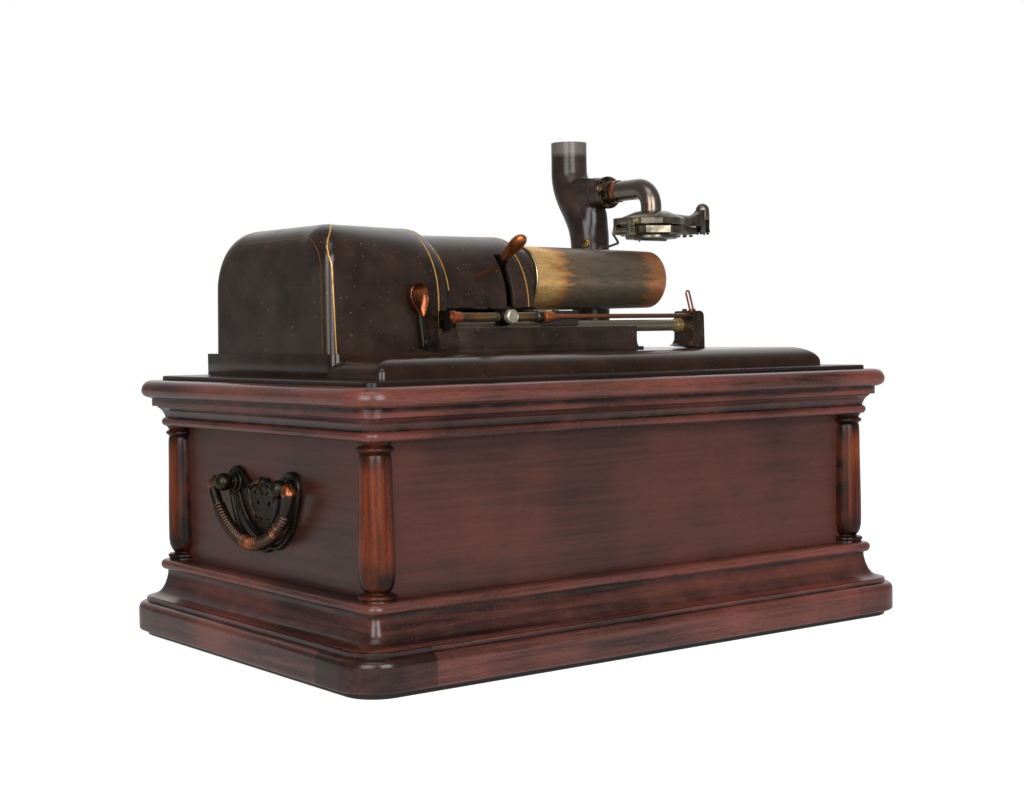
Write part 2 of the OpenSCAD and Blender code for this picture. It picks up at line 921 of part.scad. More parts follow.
module swivel_collar() {
    color("#6b5638")
        translate([horn_x, 0, tube_z])
            difference() {
                union() {
                    along_y(11.2, 46, 57);
                    along_y(9.4, 43, 46.5);
                    along_y(12.4, 46, 49.4);
                }
                along_y(tube_r + run_gap, 42, 58);
            }
}

module sound_tube() {
    color("#3a302b")
        difference() {
            union() {
                translate([horn_x, 0, tube_z])
                    along_y(tube_r, repro_y + tube_bend, 56.6);
                translate([horn_x, repro_y + tube_bend, tube_z - tube_bend])
                    rotate([0, -90, 0])
                        rotate([0, 0, -90])
                            rotate_extrude(angle = 90)
                                translate([tube_bend, 0])
                                    circle(tube_r);
                translate([horn_x, repro_y, repro_z1])
                    cylinder(r = tube_r, h = tube_z - tube_bend - repro_z1);
            }
            translate([horn_x, 0, tube_z])
                along_y(tube_r - 1.6, repro_y + tube_bend, 58);
            translate([horn_x, repro_y + tube_bend, tube_z - tube_bend])
                rotate([0, -90, 0])
                    rotate([0, 0, -90])
                        rotate_extrude(angle = 90)
                            translate([tube_bend, 0])
                                circle(tube_r - 1.6);
            translate([horn_x, repro_y, repro_z1 - 1])
                cylinder(r = tube_r - 1.6, h = tube_z - tube_bend - repro_z1 + 1);
        }
}

// Ten-sided sound box with the arm that carries the lift knob
module reproducer_body() {
    color("#8d8574")
        difference() {
            union() {
                translate([horn_x, repro_y, repro_z0])
                    cylinder(r = repro_r, h = repro_z1 - repro_z0 - 2, $fn = 10);
                translate([horn_x, repro_y, repro_z1 - 2])
                    cylinder(r1 = repro_r - 4, r2 = 12, h = 2);
                translate([horn_x + 20, repro_y - 5, repro_z0 + 1])
                    cube([knob_out - 14.5, 10, 5]);
                translate([hinge_x - 3, repro_y - 9, repro_z0])
                    cube([8, 18, 5]);
                for (s = [-1, 1])
                    translate([hinge_x - 3, repro_y + s * 7.8 - 1.2, hinge_z - 3])
                        cube([6, 2.4, repro_z0 - hinge_z + 4]);
                translate([hinge_x, repro_y, hinge_z])
                    along_y(1.2, -8, 8);
            }
            translate([horn_x, repro_y, repro_z0 - 1])
                cylinder(r = diaphragm_r, h = 4.5);
            translate([horn_x, repro_y, repro_z0 - 1])
                cylinder(r = tube_r - 1.6, h = 20);
            translate([horn_x + knob_out, repro_y, repro_z0])
                cylinder(r = 2.02, h = 8);
        }
}

module diaphragm() {
    color("#c8b48a")
        translate([horn_x, repro_y, repro_z0 + 2.6])
            difference() {
                cylinder(r = diaphragm_r, h = 0.9);
                translate([0, 0, -1])
                    cylinder(r = 1.2, h = 1.3);
            }
}

module reproducer_weight() {
    top = repro_z0 - 1.6;
    color("#857d6c")
        difference() {
            union() {
                translate([horn_x, repro_y, top - 6])
                    cylinder(r = repro_r - 1.4, h = 6);
                translate([hinge_x, repro_y - 6, top - 6])
                    cube([20, 12, 5]);
                translate([hinge_x, repro_y, hinge_z])
                    along_y(2.7, -6, 6);
                translate([horn_x + 15, repro_y - 6, top - 5])
                    cube([26, 12, 4]);
                translate([horn_x, repro_y, top - 8.4])
                    cylinder(r = 19.5, h = 3);
            }
            translate([horn_x, repro_y, top - 9])
                cylinder(r = 9, h = 12);
            translate([hinge_x, repro_y, hinge_z])
                along_y(1.2 + run_gap, -7, 7);
        }
}

// Stylus bar under the weight, with its link and point
module stylus() {
    top = repro_z0 - 10;
    color("#a8a296") {
        translate([horn_x - 16, repro_y - 1.5, top - 1.4])
            cube([30, 3, 1.4]);
        translate([horn_x - 12, repro_y, top - 2.6])
            cylinder(r1 = 0.5, r2 = 1.1, h = 2);
    }
}

module lift_knob() {
    color("#6d6659")
        translate([horn_x + knob_out, repro_y, repro_z0 - 5])
            rotate_extrude()
                polygon(concat([[0, 0], [5.8, 0], [5.8, 2], [5.2, 3], [5.4, 5.9], [2, 5.9], [2, 11.1],
                    [5.6, 11.1], [5.4, 13]], arc(0, 15.6, 5.2, 5, 90, 7)));
}

module lift_wire() {
    pts = [[horn_x - 1, stem_y - stem_r + 0.5, hinge_z - 10.6], [horn_x + 4, stem_y - 29, hinge_z - 6.6],
        [horn_x - 2, stem_y - 30, hinge_z + 0.4], [horn_x + 1, stem_y - 30, hinge_z + 8.4]];
    color("#2a211e") {
        for (i = [0:2]) {
            d = pts[i + 1] - pts[i];
            translate(pts[i])
                rotate([0, acos(d[2] / norm(d)), atan2(d[1], d[0])])
                    translate([0, 0, -0.6])
                        cylinder(r = 0.8 + 0.04 * i, h = norm(d) + 1.2);
        }
        translate([horn_x - 1, stem_y - stem_r - 1.7, hinge_z - 10.6])
            along_y(3, 0, 2.4);
    }
}

module motor_plate(x0) {
    difference() {
        translate([x0, -60, 44])
            cube([plate_t, motor_back + 60, bed_z - 44]);
        translate([0, barrel_y, barrel_z])
            along_x(arbor_r + run_gap, x0 - 1, x0 + plate_t + 1);
        translate([0, second_y, second_z])
            along_x(train_r + run_gap, x0 - 1, x0 + plate_t + 1);
        translate([0, drive_y, drive_z])
            along_x(train_r + run_gap, x0 - 1, x0 + plate_t + 1);
        translate([0, gov_y, gov_z])
            along_x(gov_r + run_gap, x0 - 1, x0 + plate_t + 1);
    }
}

module motor_plates() {
    color("#3b3733") {
        motor_plate(plate_l);
        motor_plate(plate_r);
    }
}

module motor_pillars() {
    color("#8e887b")
        for (p = [[-52, 52], [-52, 170], [motor_back - 8, 170], [motor_back - 8, 50]])
            translate([0, p[0], p[1]])
                along_x(5, plate_l + plate_t, plate_r);
}

// Spring barrel with the great wheel cut on its left end
module spring_barrel() {
    color("#a08548")
        translate([0, barrel_y, barrel_z])
            difference() {
                union() {
                    gear(great_m, great_n, -48, -40, great_phase);
                    along_x(barrel_r, -40, 2);
                }
                along_x(barrel_r - 2.5, -40, -1);
                along_x(arbor_r + run_gap, -49, 3);
            }
}

module mainspring() {
    turns = 7;
    steps = 168;
    r0 = 9;
    r1 = barrel_r - 3.4;
    thick = 0.9;
    outer = [for (i = [0:steps]) let(a = 360 * turns * i / steps, r = r0 + (r1 - r0) * i / steps)
        [r * cos(a), r * sin(a)]];
    inner = [for (i = [steps:-1:0]) let(a = 360 * turns * i / steps, r = r0 + (r1 - r0) * i / steps - thick)
        [r * cos(a), r * sin(a)]];
    color("#5b6068")
        translate([-37, barrel_y, barrel_z])
            rotate([90, 0, 90])
                linear_extrude(33)
                    polygon(concat(outer, inner));
}

module winding_arbor() {
    color("#8e887b")
        translate([0, barrel_y, barrel_z])
            difference() {
                union() {
                    along_x(arbor_r, plate_l - 4, body_w / 2 + 2);
                    along_x(arbor_r + 3, plate_r + plate_t + 6, plate_r + plate_t + 9);
                    translate([plate_r + plate_t + 1, 0, 0])
                        rotate([90, 0, 90])
                            linear_extrude(5)
                                polygon([for (i = [0:23]) let(a = i * 15 + (i % 2 == 0 ? 0 : -10),
                                    r = i % 2 == 0 ? 17 : 14.4) [r * cos(a), r * sin(a)]]);
                }
                along_x(3, body_w / 2 - 14, body_w / 2 + 3);
            }
}

module ratchet_click() {
    color("#8e887b")
        translate([plate_r + plate_t, barrel_y, barrel_z + 24]) {
            along_x(2.5, 0, 6.4);
            translate([1.2, 0, 0])
                rotate([90, 0, 90])
                    linear_extrude(4.6) {
                        circle(4);
                        polygon([[-3.5, 1.5], [-3, -2], [11, -9.2], [12.2, -6.6]]);
                    }
        }
}

module second_arbor() {
    color("#a08548")
        translate([0, second_y, second_z]) {
            along_x(train_r, plate_l, plate_r + plate_t);
            gear(great_m, pinion_n, -50, -38, second_pinion_phase);
            gear(second_m, wheel_n, -64, -58, 0);
        }
}

module drive_arbor() {
    color("#a08548")
        translate([0, drive_y, drive_z]) {
            along_x(train_r, pulley_x0 - 3, plate_r + plate_t);
            gear(second_m, pinion_n, -66, -56, drive_pinion_phase);
            gear(gov_m, wheel_n, -84, -79, 0);
        }
}

module motor_pulley() {
    color("#6d6659")
        translate([0, drive_y, drive_z])
            difference() {
                union() {
                    along_x(motor_pulley_r, pulley_x0, pulley_x1);
                    along_x(motor_pulley_r + 3.5, pulley_x0, pulley_x0 + 1.5);
                    along_x(motor_pulley_r + 3.5, pulley_x1 - 1.5, pulley_x1);
                    along_x(9, pulley_x1, plate_l - 1);
                }
                along_x(train_r, pulley_x0 - 1, plate_l);
            }
}

// Governor shaft with its pinion, collars and friction disc
module governor_shaft() {
    color("#a08548")
        translate([0, gov_y, gov_z]) {
            along_x(gov_r, plate_l, plate_r + plate_t);
            gear(gov_m, pinion_n, -86, -77, gov_pinion_phase);
            along_x(6, -72, -66);
            along_x(6, -28, -22);
            along_x(15, -22, -19.5);
        }
}

module governor_weights() {
    color("#8a6a34")
        for (a = [30, 150, 270])
            translate([-47, gov_y, gov_z])
                rotate([a, 0, 0])
                    translate([0, 12.6, 0])
                        rotate([-90, 0, 0])
                            rotate_extrude()
                                polygon(concat([[0, -2]], arc(0, 0, 5, -23.58, 90, 9)));
}

module governor_springs() {
    color("#5b6068")
        for (a = [30, 150, 270])
            translate([0, gov_y, gov_z])
                rotate([a, 0, 0])
                    translate([0, 0, -2.5])
                        linear_extrude(5)
                            polygon([[-72, 6], [-66, 6], [-52, 10], [-42, 10], [-28, 6], [-22, 6], [-22, 6.6],
                                [-28, 6.6], [-42, 10.6], [-52, 10.6], [-66, 6.6], [-72, 6.6]]);
}

// Leather-faced brake arm beside the friction disc
module brake_arm() {
    color("#4a3a2c") {
        translate([-18.9, gov_y - 4, gov_z + 9])
            cube([3, 8, 14]);
        translate([-18.9, gov_y - 4, gov_z + 20])
            cube([plate_r + 18.9, 8, 3]);
    }
}

foot_frame();
plinth_frame();
base_moulding();
front_panel();
back_panel();
left_panel();
right_panel();
corner_columns();
cornice_moulding();
top_frame();
top_strip();
handle_plates();
handle_posts();
bail_left();
bail_right();
bedplate();
gear_cover();
mandrel_hood();
front_rail();
end_post();
guide_rod();
sleeve_bracket();
outer_bracket();
hood_bracket();
drive_sleeve();
drive_belt();
carriage();
mandrel();
mandrel_shaft();
feed_arm();
feed_knob();
feed_pivot();
start_lever();
start_stud();
stop_rod();
stop_collar();
stop_screw();
trip_wire();
horn_pedestal();
swivel_collar();
sound_tube();
reproducer_body();
diaphragm();
reproducer_weight();
stylus();
lift_knob();
lift_wire();
motor_plates();
motor_pillars();
spring_barrel();
mainspring();
winding_arbor();
ratchet_click();
second_arbor();
drive_arbor();
motor_pulley();
governor_shaft();
governor_weights();
governor_springs();
brake_arm();
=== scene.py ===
from math import acos, asin, atan2, ceil, cos, degrees, dist, pi, radians, sin, sqrt

import bmesh
import bpy
from mathutils import Matrix, Vector


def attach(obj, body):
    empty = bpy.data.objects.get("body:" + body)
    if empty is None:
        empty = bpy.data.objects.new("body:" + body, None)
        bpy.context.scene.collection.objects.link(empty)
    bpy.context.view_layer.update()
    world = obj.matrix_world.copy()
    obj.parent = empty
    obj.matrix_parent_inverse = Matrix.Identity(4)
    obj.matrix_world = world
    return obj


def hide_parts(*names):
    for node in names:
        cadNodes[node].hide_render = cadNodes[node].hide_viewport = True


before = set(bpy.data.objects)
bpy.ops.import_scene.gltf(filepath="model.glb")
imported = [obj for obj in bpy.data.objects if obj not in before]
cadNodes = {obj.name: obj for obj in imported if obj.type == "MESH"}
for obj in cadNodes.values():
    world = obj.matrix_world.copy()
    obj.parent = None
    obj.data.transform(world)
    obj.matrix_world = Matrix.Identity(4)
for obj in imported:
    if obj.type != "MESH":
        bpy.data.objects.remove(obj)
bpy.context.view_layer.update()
scene = bpy.context.scene
ops = bmesh.ops
alongX, alongY, alongZ = (1, 0, 0), (0, 1, 0), (0, 0, 1)
print("frame loaded,", len(cadNodes), "nodes")


# All lengths are in millimetres until finishPiece scales a piece to metres
def hexLinear(code):
    parts = [int(code[i:i + 2], 16) / 255 for i in (1, 3, 5)]
    return tuple(c / 12.92 if c <= 0.04045 else ((c + 0.055) / 1.055) ** 2.4 for c in parts) + (1.0,)


def linkTo(tree, node, links):  # a value is a socket, or a node that stands for its first output in use
    for key, source in links.items():
        if isinstance(source, bpy.types.Node):
            source = next(out for out in source.outputs if out.enabled)
        tree.links.new(source, node.inputs[key])


def addNode(tree, kind, settings=None, links=None):
    node = tree.nodes.new("ShaderNode" + kind)
    for key, value in (settings or {}).items():
        if isinstance(key, str) and hasattr(node, key):
            setattr(node, key, value)
        else:
            node.inputs[key].default_value = hexLinear(value) if str(value)[0] == "#" else value
    linkTo(tree, node, links or {})
    return node


def setStops(ramp, stops):  # a new ramp has two marks already
    marks = ramp.color_ramp.elements
    for k, (spot, tone) in enumerate(stops):
        mark = marks[k] if k < 2 else marks.new(spot)
        mark.position = spot
        mark.color = hexLinear(tone)


def addObject(name, data):
    made = bpy.data.objects.new(name, data)
    scene.collection.objects.link(made)
    return made


def toMesh(bm, name):
    mesh = bpy.data.meshes.new(name)
    bm.to_mesh(mesh)
    bm.free()
    return mesh


def pourInto(bm, other):  # adds one drawing to another
    scrap = toMesh(other, "scrap")
    bm.from_mesh(scrap)
    bpy.data.meshes.remove(scrap)


def arcPoints(cx, cz, r, a0, a1, n):
    turns = [radians(a0 + (a1 - a0) * i / n) for i in range(n + 1)]
    return [(cx + r * cos(t), cz + r * sin(t)) for t in turns]


def circle(cx, cz, r, n):
    return arcPoints(cx, cz, r, 0, 360, n)[:-1]


def smoothLine(points, n):  # Catmull-Rom through the points
    out = []
    for i in range(len(points) - 1):
        p0, p1 = points[max(i - 1, 0)], points[i]
        p2, p3 = points[i + 1], points[min(i + 2, len(points) - 1)]
        for k in range(n):
            t = k / n
            out.append(tuple(
                0.5 * (2 * b + (c - a) * t + (2 * a - 5 * b + 4 * c - d) * t * t
                       + (3 * b - a - 3 * c + d) * t ** 3)
                for a, b, c, d in zip(p0, p1, p2, p3)))
    return out + [tuple(points[-1])]


def insetLine(points, depth):  # closed outline moved inward along its normals
    out = []
    for i, (x, y) in enumerate(points):
        a, b = points[i - 1], points[(i + 1) % len(points)]
        run = Vector((b[0] - a[0], b[1] - a[1])).normalized()
        out.append((x + run.y * depth, y - run.x * depth))
    return out


def loopOf(bm, points, closed=True):
    verts = [bm.verts.new(p) for p in points]
    pairs = list(zip(verts, verts[1:])) + ([(verts[-1], verts[0])] if closed else [])
    return [bm.edges.new(pair) for pair in pairs]


def cornersOf(edges):  # each once, in the order drawn
    return list(dict.fromkeys(v for e in edges for v in e.verts))


def skin(bm, rings, closed=False, caps=True, loose=False):  # rings of equal count, bridged in turn
    loops = [loopOf(bm, ring, not loose) for ring in rings]
    pairs = list(zip(loops, loops[1:])) + ([(loops[-1], loops[0])] if closed else [])
    for a, b in pairs:
        ops.bridge_loops(bm, edges=a + b)
    if caps and not closed and not loose:
        for loop in (loops[0], loops[-1]):
            ops.contextual_create(bm, geom=loop)
    return loops


def turned(bm, profile, centre, axis, steps=48):  # profile of (radius, along)
    along = Vector(axis).normalized()
    out = Vector((0, 0, 1)) if abs(along.z) < 0.9 else Vector((1, 0, 0))
    out = (out - along * out.dot(along)).normalized()
    points = [Vector(centre) + out * r + along * h for r, h in profile]
    closed = profile[0][0] > 1e-6 or profile[-1][0] > 1e-6
    edges = loopOf(bm, points, closed)
    geom = edges + cornersOf(edges)
    ops.spin(bm, geom=geom, cent=centre, axis=along, dvec=(0, 0, 0), angle=radians(360),
                   steps=steps, use_merge=True)


def filled(bm, outlines, depth, place):  # flat outline with holes, given a thickness
    edges = [e for line in outlines for e in loopOf(bm, [(x, y, 0) for x, y in line])]
    made = ops.triangle_fill(bm, use_beauty=True, edges=edges)
    faces = [g for g in made["geom"] if isinstance(g, bmesh.types.BMFace)]
    grown = ops.extrude_face_region(bm, geom=faces, use_keep_orig=True)
    tops = [g for g in grown["geom"] if isinstance(g, bmesh.types.BMVert)]
    ops.translate(bm, vec=(0, 0, depth), verts=tops)
    verts = list(dict.fromkeys(cornersOf(edges) + tops + [v for f in faces for v in f.verts]))
    ops.transform(bm, matrix=place, verts=verts)
    return verts


def turnedPiece(profile, centre, axis, steps):
    bm = bmesh.new()
    turned(bm, profile, centre, axis, steps)
    return bm


def tube(bm, path, radius, sides):
    skin(bm, tubeRings(path, [radius] * len(path), sides))


def facingX(x, y=0, z=0):  # outline of (y, z) thickened along X
    return Matrix(((0, 0, 1, x), (1, 0, 0, y), (0, 1, 0, z), (0, 0, 0, 1)))


def facingY(y):  # outline of (x, z) thickened to the back
    return Matrix(((1, 0, 0, 0), (0, 0, 1, y), (0, 1, 0, 0), (0, 0, 0, 1)))


def block(bm, low, high):
    size = [b - a for a, b in zip(low, high)]
    middle = [(a + b) / 2 for a, b in zip(low, high)]
    made = ops.create_cube(bm, size=1, matrix=Matrix.Translation(middle) @ Matrix.Diagonal((*size, 1)))
    return made["verts"]


def softEdges(bm, width, segments=2, angle=35):
    ops.recalc_face_normals(bm, faces=bm.faces[:])
    sharp = [e for e in bm.edges if len(e.link_faces) == 2 and e.calc_face_angle() > radians(angle)]
    ops.bevel(bm, geom=sharp, offset=width, offset_type="OFFSET", segments=segments, profile=0.5,
                    affect="EDGES", material=-1, clamp_overlap=True)


def tubeRings(path, radii, sides, flat=1.0):
    rings, side = [], None
    for i, point in enumerate(path):
        a, b = Vector(path[max(i - 1, 0)]), Vector(path[min(i + 1, len(path) - 1)])
        ahead = (b - a).normalized()
        if side is None:
            up = Vector((0, 0, 1)) if abs(ahead.z) < 0.95 else Vector((0, 1, 0))
            side = ahead.cross(up).normalized()
        side = (side - ahead * side.dot(ahead)).normalized()  # carried along, so the tube doesn't twist
        lift = side.cross(ahead)
        turns = [2 * pi * k / sides for k in range(sides)]
        rings.append([Vector(point) + radii[i] * (side * cos(t) + lift * sin(t) * flat) for t in turns])
    return rings


def finishPiece(name, bm, body, finish, replaced=(), smooth=35, wall=0.0, edge=0.0):
    ops.remove_doubles(bm, verts=bm.verts[:], dist=1e-4)
    ops.recalc_face_normals(bm, faces=bm.faces[:])
    ops.scale(bm, vec=(0.001, 0.001, 0.001), verts=bm.verts[:])
    bm.edges.index_update()
    rims = [e.index for e in bm.edges if e.is_boundary]
    mesh = toMesh(bm, name)
    mesh.polygons.foreach_set("use_smooth", [True] * len(mesh.polygons))
    mesh.set_sharp_from_angle(angle=radians(smooth))
    for k in rims:  # an open edge stays crisp when the wall closes it
        mesh.edges[k].use_edge_sharp = True
    mesh.materials.append(finish)
    piece = addObject(name, mesh)
    if wall:  # sheet given its thickness inward
        shell = piece.modifiers.new("wall", "SOLIDIFY")
        shell.thickness = wall / 1000
        shell.offset = -1
        shell.use_even_offset = True
    if edge:
        ease = piece.modifiers.new("edge", "BEVEL")
        ease.width = edge / 1000
        ease.segments = 2
        ease.limit_method = "ANGLE"
        ease.angle_limit = radians(50)
    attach(piece, body)
    if replaced:
        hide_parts(*replaced)
    return piece


photoView = {
    "width": 1024, "focal": 1676.37, "sensor": 36, "near": 0.02,  # pixels, pixels, mm, m
    "place": (-0.72067, -0.94611, 0.20856), "yaw": 37.0345, "pitch": 2.532, "roll": -0.8,
}


def addCamera():
    yaw, pitch, roll = (radians(photoView[k]) for k in ("yaw", "pitch", "roll"))
    look = Vector((sin(yaw) * cos(pitch), cos(yaw) * cos(pitch), -sin(pitch)))
    side = Vector((cos(yaw), -sin(yaw), 0))
    up = side.cross(look)
    right = side * cos(roll) + up * sin(roll)
    top = up * cos(roll) - side * sin(roll)
    data = bpy.data.cameras.new("photoCamera")
    data.sensor_fit = "HORIZONTAL"
    data.sensor_width = photoView["sensor"]
    data.lens = photoView["focal"] * photoView["sensor"] / photoView["width"]
    data.clip_start = photoView["near"]
    camera = addObject("photoCamera", data)
    turn = Matrix((right, top, -look)).transposed().to_4x4()
    camera.matrix_world = Matrix.Translation(photoView["place"]) @ turn
    scene.camera = camera


studio = {
    "skyFill": 0.22, "floorTone": "#e6e6e4", "floorGlow": 0.86, "floorSize": 14, "dimTone": "#26221f",
    "behind": (0.602, 0.798, 0), "above": (0.57, 0.72, 0.39), "aim": (0, 0, 0.15),
    "paperEdge": (-1.2, -0.5), "paperDim": (0.88, 0.6),  # the paper ends a step in front of the object
    "sweep": [(0.5, "#656565"), (0.78, "#747474"), (0.9, "#b0b0b0"), (0.965, "#ffffff")],  # white paper behind
    "softboxes": [  # name, azimuth from the camera, elevation, distance m, width and height m, watts
        ("leftStrip", -18, 19, 2.1, (1.0, 1.5), 20), ("rightStrip", 25, 19, 2.1, (0.9, 1.5), 24),
        ("topSoftbox", -6, 62, 2.1, (1.3, 0.9), 6)],
}


def seenRays(tree):  # camera rays, glossy rays, and both with transmission
    path = addNode(tree, "LightPath").outputs
    both = addNode(tree, "Math", {"operation": "MAXIMUM"}, {0: path["Is Camera Ray"], 1: path["Is Glossy Ray"]})
    seen = addNode(tree, "Math", {"operation": "MAXIMUM"}, {0: both, 1: path["Is Transmission Ray"]})
    return path["Is Camera Ray"], path["Is Glossy Ray"], seen


def emptyTree(owner):
    owner.use_nodes = True
    owner.node_tree.nodes.clear()
    return owner.node_tree


def addWorld():
    scene.world = bpy.data.worlds.new("whiteRoom")
    tree = emptyTree(scene.world)
    camera, glossy, seen = seenRays(tree)
    toward = addNode(tree, "VectorMath", {"operation": "DOT_PRODUCT", 1: studio["above"]},
                     {0: addNode(tree, "TexCoord").outputs["Generated"]}).outputs["Value"]
    share = addNode(tree, "MapRange", {"From Min": -1.0, "From Max": 1.0}, {"Value": toward})
    ramp = addNode(tree, "ValToRGB", links={0: share})
    setStops(ramp, studio["sweep"])
    shown = addNode(tree, "Math", {"operation": "MAXIMUM"}, {0: ramp, 1: camera})
    level = addNode(tree, "MapRange", {"To Min": studio["skyFill"]}, {"Value": seen, "To Max": shown})
    sky = addNode(tree, "Background", {"Color": (1, 1, 1, 1)}, {"Strength": level})
    addNode(tree, "OutputWorld", links={"Surface": sky})


def addFloor():
    bm = bmesh.new()
    ops.create_grid(bm, x_segments=1, y_segments=1, size=studio["floorSize"])
    mesh = toMesh(bm, "studioFloor")
    floor = addObject("studioFloor", mesh)
    paper = bpy.data.materials.new("whitePaper")
    tree = emptyTree(paper)
    camera, glossy, seen = seenRays(tree)
    toward = addNode(tree, "VectorMath", {"operation": "DOT_PRODUCT", 1: studio["behind"]},
                     {0: addNode(tree, "TexCoord").outputs["Object"]}).outputs["Value"]
    (start, end), (near, far) = studio["paperEdge"], studio["paperDim"]
    edge = addNode(tree, "MapRange", {"From Min": start, "From Max": end, "To Min": near, "To Max": far},
                   {"Value": toward})
    dim = addNode(tree, "Math", {"operation": "MULTIPLY"}, {0: edge, 1: glossy})
    tone = addNode(tree, "Mix", {"data_type": "RGBA", 6: studio["floorTone"], 7: studio["dimTone"]}, {0: dim})
    matt = addNode(tree, "BsdfDiffuse", links={"Color": tone})
    lit = addNode(tree, "Math", {"operation": "SUBTRACT"}, {0: seen, 1: dim})
    level = addNode(tree, "Math", {"operation": "MULTIPLY", 1: studio["floorGlow"]}, {0: lit})
    glow = addNode(tree, "Emission", {"Color": (1, 1, 1, 1)}, {"Strength": level})
    both = addNode(tree, "AddShader", links={0: matt, 1: glow})
    addNode(tree, "OutputMaterial", links={"Surface": both})
    mesh.materials.append(paper)


def addSoftboxes():
    toCamera = atan2(photoView["place"][1], photoView["place"][0])
    for name, azimuth, elevation, distance, size, watts in studio["softboxes"]:
        turn, rise = toCamera + radians(azimuth), radians(elevation)
        data = bpy.data.lights.new(name, "AREA")
        data.energy = watts
        data.shape = "RECTANGLE"
        data.size, data.size_y = size
        lamp = addObject(name, data)
        away = Vector((cos(turn) * cos(rise), sin(turn) * cos(rise), sin(rise)))
        lamp.location = Vector(studio["aim"]) + away * distance
        lamp.rotation_euler = (-away).to_track_quat("-Z", "Y").to_euler()


addCamera()
addWorld()
addFloor()
addSoftboxes()
scene.view_settings.view_transform = "Standard"
print("camera, lamps and floor placed")


def startFinish(name, settings):
    finish = bpy.data.materials.new(name)
    tree = emptyTree(finish)
    shader = addNode(tree, "BsdfPrincipled", settings)
    addNode(tree, "OutputMaterial", links={"Surface": shader})
    return finish, tree, shader, addNode(tree, "TexCoord").outputs["Object"]


def layOver(tree, under, colour, source, low, high, most=1.0):  # colour laid over the tone where the source is high
    share = addNode(tree, "MapRange", {"From Min": low, "From Max": high, "To Max": most}, {"Value": source})
    plain = {6: under} if isinstance(under, str) else {}
    return addNode(tree, "Mix", {"data_type": "RGBA", 7: colour, **plain}, {0: share, **({} if plain else {6: under})})


def dress(tree, shader, tone, source, dull, reach=(0.3, 0.7), relief=None, strength=0.0, depth=0.0):
    gloss = addNode(tree, "MapRange", {"From Min": reach[0], "From Max": reach[1], "To Min": dull[0],
                                       "To Max": dull[1]}, {"Value": source})
    linkTo(tree, shader, {"Base Color": tone, "Roughness": gloss})
    if relief is not None:
        bump = addNode(tree, "Bump", {"Strength": strength, "Distance": depth}, {"Height": relief})
        linkTo(tree, shader, {"Normal": bump})


def grainPlace(tree, place, run):  # first axis runs along the wood
    xyz = addNode(tree, "SeparateXYZ", links={0: place}).outputs
    if run == "upright":
        return addNode(tree, "CombineXYZ", links={0: xyz[2], 1: xyz[0], 2: xyz[1]})
    beyond = []
    for k, half in ((0, 0.201), (1, 0.125)):  # mitred at the corners of the case
        size = addNode(tree, "Math", {"operation": "ABSOLUTE"}, {0: xyz[k]})
        beyond.append(addNode(tree, "Math", {"operation": "SUBTRACT", 1: half}, {0: size}))
    side = addNode(tree, "Math", {"operation": "GREATER_THAN"}, {0: beyond[0], 1: beyond[1]})
    along = addNode(tree, "CombineXYZ", links={0: xyz[0], 1: xyz[1], 2: xyz[2]})
    across = addNode(tree, "CombineXYZ", links={0: xyz[1], 1: xyz[0], 2: xyz[2]})
    return addNode(tree, "Mix", {"data_type": "VECTOR"}, {0: side, 4: along, 5: across}).outputs[1]


# Mahogany, stained and varnished: streaks along the grain, dark pores, painted shade in the recesses and a stain at the
# plinth corners, a deep shine
def mahogany(name, dark, mid, red, run, rough, redShare, streak=5.0, shine=0.5):
    finish, tree, shader, place = startFinish(name, {"IOR": 1.5, "Specular IOR Level": shine})
    wood = grainPlace(tree, place, run)
    laid = addNode(tree, "Mapping", {"Scale": (1000 / 110, 1000 / streak, 1000 / streak)}, {"Vector": wood})
    figure = addNode(tree, "TexNoise", {"Scale": 1.0, "Detail": 5.0, "Roughness": 0.62, "Distortion": 0.5},
                     {"Vector": laid})
    # pores are 0.3 mm wide and drawn at 0.9 mm, too fine to show otherwise
    laid = addNode(tree, "Mapping", {"Scale": (1000 / 7, 1000 / 0.9, 1000 / 0.9)}, {"Vector": wood})
    pores = addNode(tree, "TexNoise", {"Scale": 1.0, "Detail": 2.0, "Roughness": 0.6}, {"Vector": laid})
    mottle = addNode(tree, "TexNoise", {"Scale": 1000 / 120, "Detail": 3.0, "Roughness": 0.55}, {"Vector": wood})
    speck = addNode(tree, "TexNoise", {"Scale": 1000 / 1.3, "Detail": 1.0}, {"Vector": place})
    broken = addNode(tree, "TexNoise", {"Scale": 1000 / 16, "Detail": 3.0}, {"Vector": place})
    recess = addNode(tree, "Attribute", {"attribute_name": "grime"}).outputs["Fac"]
    tone = layOver(tree, dark, mid, figure, 0.4, 0.6)
    tone = layOver(tree, tone, red, mottle, 0.42, 0.64, redShare)
    tone = layOver(tree, tone, dark, pores, 0.52, 0.72, 0.5)
    tone = layOver(tree, tone, red, speck, 0.52, 0.8, 0.3)
    # darkened toward near-black by the attribute: painted shade in recesses and where parts meet, and the real stain at
    # the plinth corners
    share = addNode(tree, "MapRange", {"From Min": 0.34, "From Max": 0.6, "To Min": 0.55}, {"Value": broken})
    share = addNode(tree, "Math", {"operation": "MULTIPLY"}, {0: share, 1: recess})
    tone = addNode(tree, "Mix", {"data_type": "RGBA", 7: "#140a08"}, {0: share, 6: tone})
    dress(tree, shader, tone, mottle, (rough - 0.05, rough + 0.07), relief=pores, strength=0.12, depth=0.00012)
    return finish


